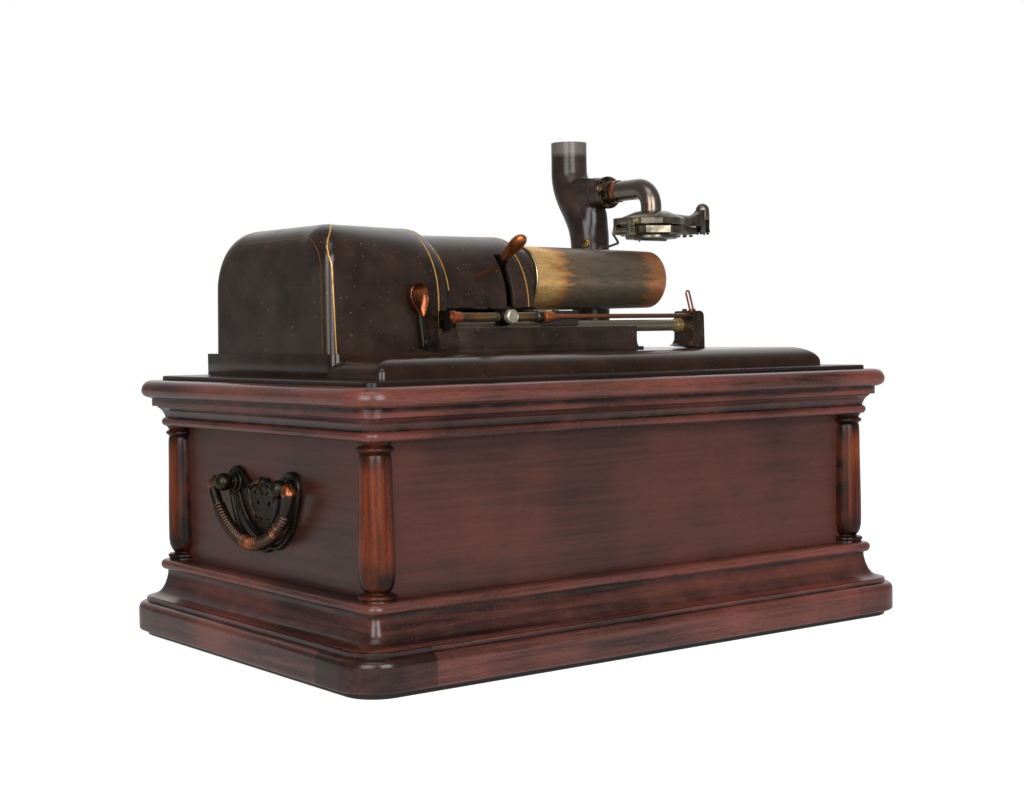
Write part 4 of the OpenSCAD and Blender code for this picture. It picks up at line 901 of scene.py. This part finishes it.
def brushLine(bm, path, normals):
    rings = []
    for i, point in enumerate(path):
        run = (Vector(path[min(i + 1, len(path) - 1)]) - Vector(path[max(i - 1, 0)])).normalized()
        out = Vector(normals[i])
        across = run.cross(out).normalized() * stripe["width"] / 2
        lift = out * stripe["lift"]
        rings.append([Vector(point) + a * across + b * lift for a, b in ((-1, -1), (1, -1), (1, 1), (-1, 1))])
    skin(bm, rings)


def pinstripes(faint):
    bm = bmesh.new()
    left = coverLine(cover["x0"])
    path, normals = [], []
    if faint:  # on the rounding of the left end, further up where that is wide
        for y, z, (p, q), r in left:
            turn = radians(stripe["endTurn"] - stripe["endDrift"] * (r - cover["endRound"][0]))
            s, c = sin(turn), cos(turn)
            path.append((cover["x0"] + r - r * s, y - p * r * (1 - c), z - q * r * (1 - c)))
            normals.append((-s, c * p, c * q))
        brushLine(bm, path, normals)
        return bm
    for i, (y, z, (p, q), r) in enumerate(left):  # drifts along the rounding as it climbs
        a, b = [pair for pair in zip(stripe["leftX"], stripe["leftX"][1:]) if pair[0][0] <= i <= pair[1][0]][0]
        x = a[1] + (b[1] - a[1]) * (i - a[0]) / (b[0] - a[0])
        s = min(max((cover["x0"] + r - x) / r, 0), 1)
        c = sqrt(1 - s * s)
        path.append((x, y - p * (r - r * c), z - q * (r - r * c)))
        normals.append((-s, c * p, c * q))
    brushLine(bm, path, normals)
    right = coverLine(stripe["coverX"])
    brushLine(bm, [(stripe["coverX"], y, z) for y, z, way, r in right], [(0, p, q) for y, z, (p, q), r in right])
    for x, low in stripe["hood"]:
        turns = [radians(low - (low - stripe["hoodEnd"]) * i / 48) for i in range(49)]
        path = [(x, hood["y"] + hood["r"] * cos(t), hood["z"] + hood["r"] * sin(t)) for t in turns]
        brushLine(bm, path, [(0, cos(t), sin(t)) for t in turns])
    return bm


finishPiece("pinstripes", pinstripes(False), "frame", gilt)
finishPiece("endPinstripe", pinstripes(True), "frame", giltFaint)
print("bed, cover and hood built")

rail = {"x0": -91.8, "x1": 63, "left": -106, "lug": (-104.2, -100), "lugBore": 2.5,
        "front": -55, "back": -38.2, "low": 193.5, "top": 210, "sill": 195}
post = {"x0": 114, "x1": 124.5, "front": -58.6, "back": -38, "low": 193.5, "top": 220.6}
rod = {"y": -44.5, "z": 210.4, "r": 4.1, "x0": -88, "x1": 122}
stop = {"y": -55, "z": 217.2, "collar": (-59, -50), "screwX": -54.5}


def frontRail():
    low, top, x1 = rail["low"], rail["top"], rail["x1"]
    bm = bmesh.new()
    line = [(rail["x0"], low), (rail["x0"], top), (x1, top), (x1, low + 7)]
    line += arcPoints(x1 + 7, low + 7, 7, 180, 270, 8)[1:]
    filled(bm, [line], rail["back"] - rail["front"], facingY(rail["front"]))
    block(bm, (rail["left"], rail["front"], rail["sill"]), (rail["x0"] + 0.4, -45.2, top))
    block(bm, (rail["x0"], rail["front"] - 1.4, low), (x1 + 5, rail["front"] + 2, low + 2.4))  # foot ledge
    softEdges(bm, 0.7, 2)
    head = [(0, 0), (2.1, 0), (2.1, 0.5), (1.6, 1), (0, 1.1)]
    turned(bm, head, (-98, rail["front"] + 5, top), alongZ, 16)  # screw head
    return bm


def rodLug():  # holds the left end of the stop rod
    (a, b), y, z = rail["lug"], stop["y"], stop["z"]
    low, high = rail["top"] - 1.5, z + 4.4
    line = [(y - 3.4, low), (y + 3.4, low), (y + 3.4, high), (y - 3.4, high)]
    bm = bmesh.new()
    filled(bm, [line, circle(y, z, rail["lugBore"], 20)], b - a, facingX(a))
    return bm


def endPost():
    low, top, x0, x1 = post["low"], post["top"], post["x0"], post["x1"]
    line = [(x1 + 0.6, low)] + arcPoints(x1 - 4, top - 4, 4, 0, 90, 8) + [(x0 + 1.5, top), (x0, top - 1.5)]
    line += [(x0, low + 8)] + arcPoints(x0 - 6, low + 8, 6, 0, -90, 8)[1:]
    bm = bmesh.new()
    filled(bm, [line], post["back"] - post["front"], facingY(post["front"]))
    softEdges(bm, 1.1, 3)
    turned(bm, [(0, -0.5), (1.9, -0.5), (1.9, 1), (1.4, 1.5), (0, 1.6)], (119, -44, top), alongZ, 16)
    return bm


def guideRod():
    r, x0, x1 = rod["r"], rod["x0"], rod["x1"]
    profile = [(0, x0), (r, x0), (r, 108.8)] + [(r + 0.9, 109.2), (r + 0.9, 110.4), (r, 110.7), (r, 111.4)]
    profile += [(r + 1.1, 111.8), (r + 1.1, 113.6), (r, 114), (r, x1), (0, x1)]
    return turnedPiece(profile, (0, rod["y"], rod["z"]), alongX, 32)


finishPiece("rodLug", rodLug(), "frame", blackIron)
finishPiece("frontRail", frontRail(), "frame", blackJapan, ("front_rail",), smooth=30)
finishPiece("endPost", endPost(), "frame", blackJapan, ("end_post",), smooth=30)
finishPiece("guideRod", guideRod(), "frame", guideSteel, ("guide_rod",))

axisZ = 244.8
carriageSize = {"collar": 22.4, "x0": -13, "x1": -1.6, "bore": 6.05, "armThick": 10,
                "shoe": ((-19, -50.2, 210.7), (14, -38.6, 221.3)),
                "arm": [(-50, 212), (-38.6, 211.2), (-16, 212.4), (8, 224.2), (8, 235.8), (-12, 235.8),
                        (-22, 221.3), (-50, 221.3)]}


def carriage():
    bm = bmesh.new()
    block(bm, *carriageSize["shoe"])
    filled(bm, [carriageSize["arm"]], carriageSize["armThick"], facingX(carriageSize["x0"]))
    softEdges(bm, 1.0, 2)
    r, x0, x1 = carriageSize["collar"], carriageSize["x0"], carriageSize["x1"]
    bore = carriageSize["bore"]
    profile = [(bore, x0), (r - 1.2, x0), (r - 0.3, x0 + 0.4), (r, x0 + 1.4), (r, x1 - 1.2), (r - 0.3, x1 - 0.4),
               (r - 1, x1), (bore, x1)]
    turned(bm, profile, (0, 0, axisZ), alongX, 56)
    turned(bm, [(0, 0), (2.2, 0), (2.2, 0.8), (1.7, 1.3), (0, 1.4)], (-2, -44.4, 221.3), alongZ, 16)
    return bm


mandrelSize = {"x0": -0.4, "length": 124, "big": 23.1, "small": 21.1, "wall": 3, "shaft": 6, "web": 6,
               "webDeep": 12, "holes": 4, "holesOut": 12}


def mandrel():
    m = mandrelSize
    x0, long, big, small, wall = m["x0"], m["length"], m["big"], m["small"], m["wall"]
    profile = [(m["shaft"], 0), (big - 0.8, 0), (big - 0.2, 0.3), (big, 0.9)]
    profile += [(big + (small - big) * i / 8, 0.9 + (long - 3.3) * i / 8) for i in range(1, 9)]
    profile += arcPoints(small - 2.4, long - 2.4, 2.4, 8, 90, 7)
    inside = small - wall
    profile += [(inside + 0.4, long), (inside, long - 0.4), (inside, long - 9), (big - wall, 8), (m["shaft"], 8)]
    bm = bmesh.new()
    turned(bm, profile, (x0, 0, axisZ), alongX, 72)
    rim = circle(0, 0, small - wall + 0.2, 48)
    holes = [circle(0, 0, m["shaft"], 24)]
    holes += [circle(m["holesOut"] * cos(t), m["holesOut"] * sin(t), m["holes"], 20)
              for t in [radians(90 + 120 * k) for k in range(3)]]
    filled(bm, [rim] + holes, m["web"], facingX(x0 + long - m["webDeep"], 0, axisZ))
    return bm


def mandrelRing():
    b = mandrelSize["big"]
    profile = [(b - 2, -0.4), (b + 0.05, -0.4), (b + 0.3, 0), (b + 0.3, 0.8), (b + 0.1, 1.1), (b - 2, 1.1)]
    return turnedPiece(profile, (mandrelSize["x0"], 0, axisZ), alongX, 72)


finishPiece("carriage", carriage(), "carriage", castJapan, ("carriage",), smooth=32)
finishPiece("mandrel", mandrel(), "mandrel", mandrelBronze, ("mandrel",), smooth=30)
finishPiece("mandrelRing", mandrelRing(), "mandrel", brassPale)
print("rail, carriage and mandrel built")

feed = {"x": -36, "y": 10.5, "z": 225, "from": 51.5, "length": 27, "angle": 143, "width": 5.4, "flat": 0.8,
        "side": (-38.4, -33.6), "boss": 7.5, "bore": 3.05, "half": 4, "shaft": 6.4}
lever = {"x": -113, "y": -48.5, "z": 201, "lean": -10.5, "thick": 3.2, "head": 27.6, "wide": 9.4,
         "long": 11.6, "bore": 2.25}


def feedKnob():
    turn = radians(feed["angle"])
    rise = Vector((0, cos(turn), sin(turn)))
    root = Vector((feed["x"], feed["y"], feed["z"])) + rise * feed["from"]
    shape = smoothLine([(0, 0.2), (0.02, 0.34), (0.12, 0.54), (0.3, 0.78), (0.5, 0.95), (0.68, 1), (0.82, 0.94),
                        (0.92, 0.74), (0.98, 0.42), (1, 0.06)], 3)  # share of the length, of the width
    path = [root + rise * feed["length"] * s + Vector((0, -2.2 * s * s, -1.4 * s * s)) for s, w in shape]
    bm = bmesh.new()
    skin(bm, tubeRings(path, [feed["width"] * w for s, w in shape], 24, feed["flat"]))
    return bm


def feedArm():  # drawn along its length from the pivot, cut back where it passes the mandrel's shaft
    turn = radians(feed["angle"])
    c, s = cos(turn), sin(turn)
    off = Vector((-feed["y"], axisZ - feed["z"]))
    along, across = off.x * c + off.y * s, off.y * c - off.x * s
    half, cut = feed["half"], feed["shaft"]
    start = degrees(asin(half / feed["boss"]))
    notch = degrees(asin((-half - across) / cut))
    line = arcPoints(0, 0, feed["boss"], start, 360 - start, 24) + arcPoints(along, across, cut, 180 - notch, notch, 8)
    line += [(45, -half), (50, -2.6), (53, -1.6), (53, 1.6), (50, 2.6), (45, half)]
    x0, x1 = feed["side"]
    stand = Matrix(((0, 0, 1, x0), (c, -s, 0, feed["y"]), (s, c, 0, feed["z"]), (0, 0, 0, 1)))
    bm = bmesh.new()
    filled(bm, [line, circle(0, 0, feed["bore"], 24)], x1 - x0, stand)
    return bm


def startLever(part):
    bm = bmesh.new()
    thick, w, long = lever["thick"], lever["wide"], lever["long"]
    if part == "stem":
        line = [(-2.2, 21), (-3.3, 0)] + arcPoints(0, 0, 4.2, 200, 340, 10) + [(3.3, 0), (2.2, 21)]
        filled(bm, [line, circle(0, 0, lever["bore"], 16)], thick - 0.6, Matrix())
        softEdges(bm, 0.6, 2)
    else:
        turns = [2 * pi * k / 40 for k in range(40)]
        drop = [(w * sin(t) * sin(t / 2), -long * cos(t)) for t in turns]  # pointed toward the stem
        steps = [(0.02, 0.2), (0.5, 0.3), (0.9, 0.7), (0.98, 1.4), (1, 2.6), (0.97, 3.5), (0.9, 3.7), (0.8, 3.2),
                 (0.62, 2.3), (0.36, 1.8), (0.02, 1.7)]  # under the spoon, over its lip, into its bowl
        skin(bm, [[(x * size, lever["head"] + 2 + (y - 2) * size, z) for x, y in drop] for size, z in steps])
    stand = Matrix.Rotation(radians(90), 4, "X")  # drawn flat, stood up facing the front
    lean = Matrix.Rotation(radians(lever["lean"]), 4, "Y")
    place = Matrix.Translation((lever["x"], lever["y"], lever["z"]))
    ops.transform(bm, matrix=place @ lean @ stand, verts=bm.verts[:])
    return bm


def startRivet():
    spot = (lever["x"], lever["y"] - lever["thick"], lever["z"])
    return turnedPiece([(0, -5), (2.2, -5), (2.2, 0.1), (2.6, 0.3), (2.2, 0.8), (0, 1)], spot, (0, -1, 0), 20)


def stopRod():
    profile = [(0, -104), (2.2, -104), (2.4, -103.6), (2.4, -97), (3.2, -96.9), (4.5, -96.4), (4.6, -95.8),
               (4.3, -94.8), (3.7, -92), (3.25, -89), (3.1, -88.2), (3.1, -27.4), (3.7, -27), (4, -26.6),
               (4, -22.4), (3.7, -22), (3.0, -21.8), (3.0, -21.4), (3.9, -20.9), (4.2, -20), (4.1, -18),
               (3.5, -14.4), (2.5, -11), (1.9, -9.4), (1.6, -8), (1.6, 118.6), (1.4, 119), (0, 119)]
    return turnedPiece(profile, (0, stop["y"], stop["z"]), alongX, 28)


def stopCollar():
    x0, x1 = stop["collar"]
    bm = bmesh.new()
    rings = []
    steps = [(x0, 3.15, 0), (x0, 5.0, 0), (x0 + 0.5, 5.6, 0), (x0 + 1.8, 5.6, 0), (x0 + 2.1, 6.1, 0.35)]
    steps += [(x0 + x1 - x, r, cut) for x, r, cut in reversed(steps)]
    for x, r, cut in steps:  # every other point cut back for the knurl
        spots = [(r - cut * (k % 2), 2 * pi * k / 56) for k in range(56)]
        rings.append([(x, stop["y"] + a * cos(t), stop["z"] + a * sin(t)) for a, t in spots])
    skin(bm, rings, closed=True)
    return bm


def stopScrew():
    profile = [(0, 3.4), (1.7, 3.4), (1.8, 7), (4.4, 7), (4.8, 7.4), (4.8, 10.6), (4.4, 11.2), (3.9, 11.4),
               (3.6, 11.1), (0, 10.9)]
    return turnedPiece(profile, (stop["screwX"], stop["y"], stop["z"]), (0, -1, 0), 28)


def wireBow():  # bent trip wire on the end post
    bm = bmesh.new()
    path = [(-1.6, 0, z) for z in (0.3, 5, 10, 14)] + [(x, 0, z) for x, z in arcPoints(0, 14, 1.6, 165, 15, 8)]
    path += [(1.6, 0, z) for z in (14, 10, 5, 0.3)]
    tube(bm, path, 0.7, 10)
    turned(bm, [(0, 0.1), (2.9, 0.1), (2.9, 1.2), (2.4, 1.7), (0, 1.7)], (0, 0, 0), alongZ, 20)
    lean = Matrix.Translation((117, stop["y"] + 1, post["top"] - 0.6)) @ Matrix.Rotation(radians(-17), 4, "Y")
    ops.transform(bm, matrix=lean, verts=bm.verts[:])
    return bm


finishPiece("feedKnob", feedKnob(), "feed_lever", knobCopper, ("feed_knob",))
finishPiece("feedArm", feedArm(), "feed_lever", blackIron, ("feed_arm",))
finishPiece("startLever", startLever("spoon"), "start_lever", spoonBronze, ("start_lever",))
finishPiece("startStem", startLever("stem"), "start_lever", handleBronze)
finishPiece("startRivet", startRivet(), "frame", handleBronze, ("start_stud",))
finishPiece("stopRod", stopRod(), "stop_rod", rodCopper, ("stop_rod",))
finishPiece("stopCollar", stopCollar(), "stop_collar", blackIron, ("stop_collar",), smooth=60)
finishPiece("stopScrew", stopScrew(), "stop_screw", nickelButton, ("stop_screw",))
finishPiece("tripWire", wireBow(), "frame", copperPlate, ("trip_wire",))
print("levers and stop rod built")

horn = {"x": 125, "stemY": 70, "socketY": 95, "top": 356, "tubeZ": 313.6, "bore": 11.5, "deep": 30,
        "spine": [(70, 194, 14.9), (70, 240, 14.8), (70, 266, 14.9), (70.6, 280, 15.3), (73, 291, 15.8),  # y, z, radius
                  (79, 302, 15.9), (86, 311.5, 15.6), (91.6, 320.5, 15), (94.5, 329, 14.4), (95, 338, 14.15),
                  (95, 360, 14.15)],
        "voxel": 1.0, "easeRounds": 9}
sound = {"flange": (46, 49.4), "neck": (38, 46.4), "sleeve": (49.2, 58), "ring": (33.6, 37.2), "tube": 7.7,
         "bend": 14, "y": -2}
onTube = (horn["x"], 0, horn["tubeZ"])  # the tube's axis runs along Y through here


def hornPedestal():
    x = horn["x"]
    rough = bmesh.new()
    spine = smoothLine(horn["spine"], 5)
    skin(rough, tubeRings([(x, y, z) for y, z, r in spine], [r for y, z, r in spine], 32))
    # front rib up to the branch
    web = smoothLine([(70, 250, 13.5), (69.5, 280, 14), (69, 298, 13), (69, 306, 10.5)], 5)
    skin(rough, tubeRings([(x, y, z) for y, z, r in web], [r for y, z, r in web], 28))
    branch = [(0, 57.2), (12.4, 57.2), (12.5, 60), (12.8, 66), (13.6, 76), (14, 88), (0, 88)]
    turned(rough, branch, onTube, alongY, 32)
    foot = [(0, 193.5), (19.4, 193.5), (19.9, 194.2), (19.9, 197), (19, 198.4), (15.5, 199.5), (0, 199.5)]
    turned(rough, foot, (x, horn["stemY"], 0), alongZ, 40)
    mesh = toMesh(rough, "castingRough")
    blank = addObject("castingRough", mesh)
    melt = blank.modifiers.new("melt", "REMESH")  # overlapping shells run into one casting
    melt.mode = "VOXEL"
    melt.voxel_size = horn["voxel"]
    ease = blank.modifiers.new("ease", "SMOOTH")
    ease.factor = 0.5
    ease.iterations = horn["easeRounds"]
    cast = bpy.data.meshes.new_from_object(blank.evaluated_get(bpy.context.evaluated_depsgraph_get()))
    bm = bmesh.new()
    bm.from_mesh(cast)
    bpy.data.objects.remove(blank)
    bpy.data.meshes.remove(mesh)
    bpy.data.meshes.remove(cast)
    top, b = horn["top"], horn["bore"]
    above = ops.bisect_plane(bm, geom=bm.verts[:] + bm.edges[:] + bm.faces[:], plane_co=(0, 0, top),
                                   plane_no=alongZ, clear_outer=True)
    rim = [e for e in above["geom_cut"] if isinstance(e, bmesh.types.BMEdge)]
    wall = [loopOf(bm, [(p, q, z) for p, q in circle(x, horn["socketY"], r, 72)])
            for r, z in ((b + 0.5, top), (b, top - 0.5), (b, top - horn["deep"]))]
    ops.triangle_fill(bm, use_beauty=True, edges=rim + wall[0])
    for one, two in zip(wall, wall[1:]):
        ops.bridge_loops(bm, edges=one + two)
    ops.contextual_create(bm, geom=wall[-1])
    return bm


def swivelCollar():
    (a, b), (c, d), bore = sound["flange"], sound["neck"], sound["tube"] + 0.05
    profile = [(bore, c), (8.3, c), (8.5, c + 0.4), (8.7, c + 4), (9.4, d - 0.8), (10.6, a), (12, a), (12.4, a + 0.5),
               (12.4, b - 0.3), (12, b), (bore, b)]
    return turnedPiece(profile, onTube, alongY, 44)


def collarSleeve():  # end of the casting's branch
    (a, b), bore = sound["sleeve"], sound["tube"] + 0.05
    return turnedPiece([(bore, a), (11.4, a), (11.8, a + 0.4), (12, b), (bore, b)], onTube, alongY, 44)


def collarRing():
    (a, b), bore = sound["ring"], sound["tube"] + 0.08
    profile = [(bore, a), (8.2, a), (8.5, a + 0.4), (8.5, b - 0.4), (8.2, b), (bore, b)]
    return turnedPiece(profile, onTube, alongY, 40)


def soundTube():
    z, bend, y = horn["tubeZ"], sound["bend"], sound["y"]
    path = [(horn["x"], p, z) for p in (56.6, 50, 40, 30, 22)]
    path += [(horn["x"], p, q) for p, q in arcPoints(y + bend, z - bend, bend, 90, 180, 14)]
    path += [(horn["x"], y, q) for q in (297, 294.4)]
    bm = bmesh.new()
    tube(bm, path, sound["tube"], 36)
    return bm


finishPiece("hornPedestal", hornPedestal(), "frame", castJapan, ("horn_pedestal",), smooth=50)
finishPiece("swivelCollar", swivelCollar(), "frame", ironRim, ("swivel_collar",))
finishPiece("collarSleeve", collarSleeve(), "frame", castJapan)
finishPiece("collarRing", collarRing(), "sound_arm", copperPlate)
finishPiece("soundTube", soundTube(), "sound_arm", tubeBronze, ("sound_tube",))

box = {"x": 125, "y": -2, "low": 285.3, "r": 25.6, "turn": -4.5, "weightR": 24.2, "weightTop": 283.7,
       "weightTurn": 39, "hingeX": 98, "hingeZ": 280.9, "knobX": 177.7, "foot": 280.3}


def manySided(r, z, count, turn):
    turns = [radians(turn + 360 / count * k) for k in range(count)]
    return [(box["x"] + r * cos(t), box["y"] + r * sin(t), z) for t in turns]


def reproducerBody():
    low, r = box["low"], box["r"]
    bm = bmesh.new()
    steps = [(r - 0.8, 0), (r, 0.6), (r, 4.6), (r - 0.6, 5.2), (13, 10.2), (8.6, 10.8)]
    skin(bm, [manySided(a, low + h, 10, box["turn"]) for a, h in steps])
    arm = [(136, 15, 0, 8.2), (148, 10.8, 0, 8), (158, 7.8, 0, 8), (166, 6, 0.2, 8.6), (170.6, 5.5, 0.6, 10.4),
           (174, 5.2, 0.8, 13.4), (177.4, 4.4, 1, 16)]  # x, half width, foot and top above the lower face
    bands = []
    for x, half, foot, top in smoothLine(arm, 4):
        y = box["y"]
        bands.append([(x, y - half, low + foot), (x, y + half, low + foot), (x, y + half, low + top - 1.6),
                      (x, y + half - 1.8, low + top), (x, y - half + 1.8, low + top), (x, y - half, low + top - 1.6)])
    skin(bm, bands)
    lug = bmesh.new()
    x, y, z = box["hingeX"], box["y"], box["hingeZ"]
    block(lug, (x - 3, y - 9, low), (x + 5, y + 9, low + 5))
    for s in (-1, 1):
        block(lug, (x - 3, y + s * 7.8 - 1.2, z - 3), (x + 3, y + s * 7.8 + 1.2, low + 1))
    softEdges(lug, 0.5, 2)
    pin = [(0, -9.6), (1.8, -9.6), (1.8, -9), (1.2, -8.8), (1.2, 8.8), (1.8, 9), (1.8, 9.6), (0, 9.6)]
    turned(lug, pin, (x, y, z), alongY, 14)
    pourInto(bm, lug)
    return bm


def reproducerWeight():
    top, r = box["weightTop"], box["weightR"]
    x, y = box["x"], box["y"]
    bm = bmesh.new()
    steps = [(r - 0.6, 0.8), (r, 0.3), (r, -4.6), (r - 1.4, -6)]
    skin(bm, [manySided(a, top + h, 8, box["weightTurn"]) for a, h in steps])
    rim = [(9, -5.8), (19.1, -5.8), (19.5, -6.2), (19.5, -8), (19, -8.4), (10, -8.4), (9, -7.8)]
    turned(bm, rim, (x, y, top), alongZ, 40)
    bars = bmesh.new()
    block(bars, (box["hingeX"], y - 6, top - 6), (x - 10, y + 6, top + 0.9))
    block(bars, (x + 15, y - 6, top - 4.4), (x + 41, y + 6, top + 1.2))
    softEdges(bars, 0.6, 2)
    for p, q in ((31, -3.6), (31, 3.6), (37, -3.6), (37, 3.6)):  # screw heads under the arm
        turned(bars, [(0, -1), (1.3, -1), (1.5, -0.6), (1.5, 0.6), (0, 0.6)], (x + p, y + q, top - 5.4), alongZ, 12)
    turned(bars, [(1.25, -6), (2.7, -6), (2.7, 6), (1.25, 6)], (box["hingeX"], y, box["hingeZ"]), alongY, 18)
    pourInto(bm, bars)
    return bm


def liftKnob():
    dome = [(0, 8), (2.4, 8), (5.3, 8), (5.5, 8.6), (5.4, 13)] + arcPoints(0, 15.5, 5.2, 2, 90, 9)
    dome[-1] = (0, 20.7)
    return turnedPiece(dome, (box["knobX"], box["y"], box["foot"] + 2.6), alongZ, 32)


def knobFoot():
    bm = bmesh.new()
    x, y, z = box["knobX"], box["y"], box["foot"]
    profile = [(0, 0.9), (5.3, 0.9), (5.7, 1.4), (5.7, 2.8), (5.3, 3.4), (5.5, 10.5), (0, 10.5)]
    turned(bm, profile, (x, y, z), alongZ, 32)
    for t in [radians(turn) for turn in (30, 150, 210, 330)]:  # screw heads
        spot = (x + 4 * cos(t), y + 4 * sin(t), z + 0.3)
        turned(bm, [(0, -0.9), (0.9, -0.9), (1.1, -0.5), (1.1, 0.4), (0, 0.4)], spot, alongZ, 10)
    return bm


def liftWire():
    x, z = horn["x"], box["hingeZ"]
    bm = bmesh.new()
    bends = [(x - 1, 55.8, z - 10.6), (x + 3.6, 42.2, z - 6.9), (x + 3.9, 41.2, z - 6.2), (x + 3.2, 40.6, z - 5.2),
             (x - 1.6, 40, z), (x - 1.9, 40, z + 0.8), (x - 1.6, 40, z + 1.8), (x + 1, 40, z + 8.4)]
    path = smoothLine(bends, 5)
    tube(bm, path, 0.95, 12)
    turned(bm, [(0, -1.7), (2.6, -1.7), (3, -1.2), (3, 0.9), (0, 0.9)], (x - 1, 55.1, z - 10.6), alongY, 20)
    return bm


def stemWing():  # small brass thumb piece on the stem
    bm = bmesh.new()
    out = Vector((-0.78, -0.62, 0)).normalized()
    spot = Vector((horn["x"], horn["stemY"], 274)) + out * 14.4
    turned(bm, [(0, -0.6), (2.6, -0.6), (2.8, 0.6), (2.2, 1.4), (0, 1.5)], spot, out, 18)
    side = out.cross(Vector((0, 0, 1)))
    bow = smoothLine([(-3.4, -0.8), (-1.6, 2.4), (0.5, 2.8), (3, -2.6)], 5)
    path = [spot + out * 1.1 + side * a + Vector((0, 0, b)) for a, b in bow]
    radii = [0.4 + 0.7 * sin(pi * (i + 0.6) / (len(path) + 0.4)) for i in range(len(path))]
    skin(bm, tubeRings(path, radii, 10))
    return bm


finishPiece("reproducerBody", reproducerBody(), "sound_arm", nickelAged,
            ("reproducer_body",), smooth=30)
finishPiece("reproducerWeight", reproducerWeight(), "weight", nickelAged,
            ("reproducer_weight",), smooth=30)
finishPiece("liftKnob", liftKnob(), "sound_arm", tubeBronze, ("lift_knob",))
finishPiece("knobFoot", knobFoot(), "sound_arm", handleBronze)
finishPiece("liftWire", liftWire(), "frame", steelDull, ("lift_wire",))
finishPiece("stemWing", stemWing(), "frame", brassAged)
print("horn pedestal and reproducer built")
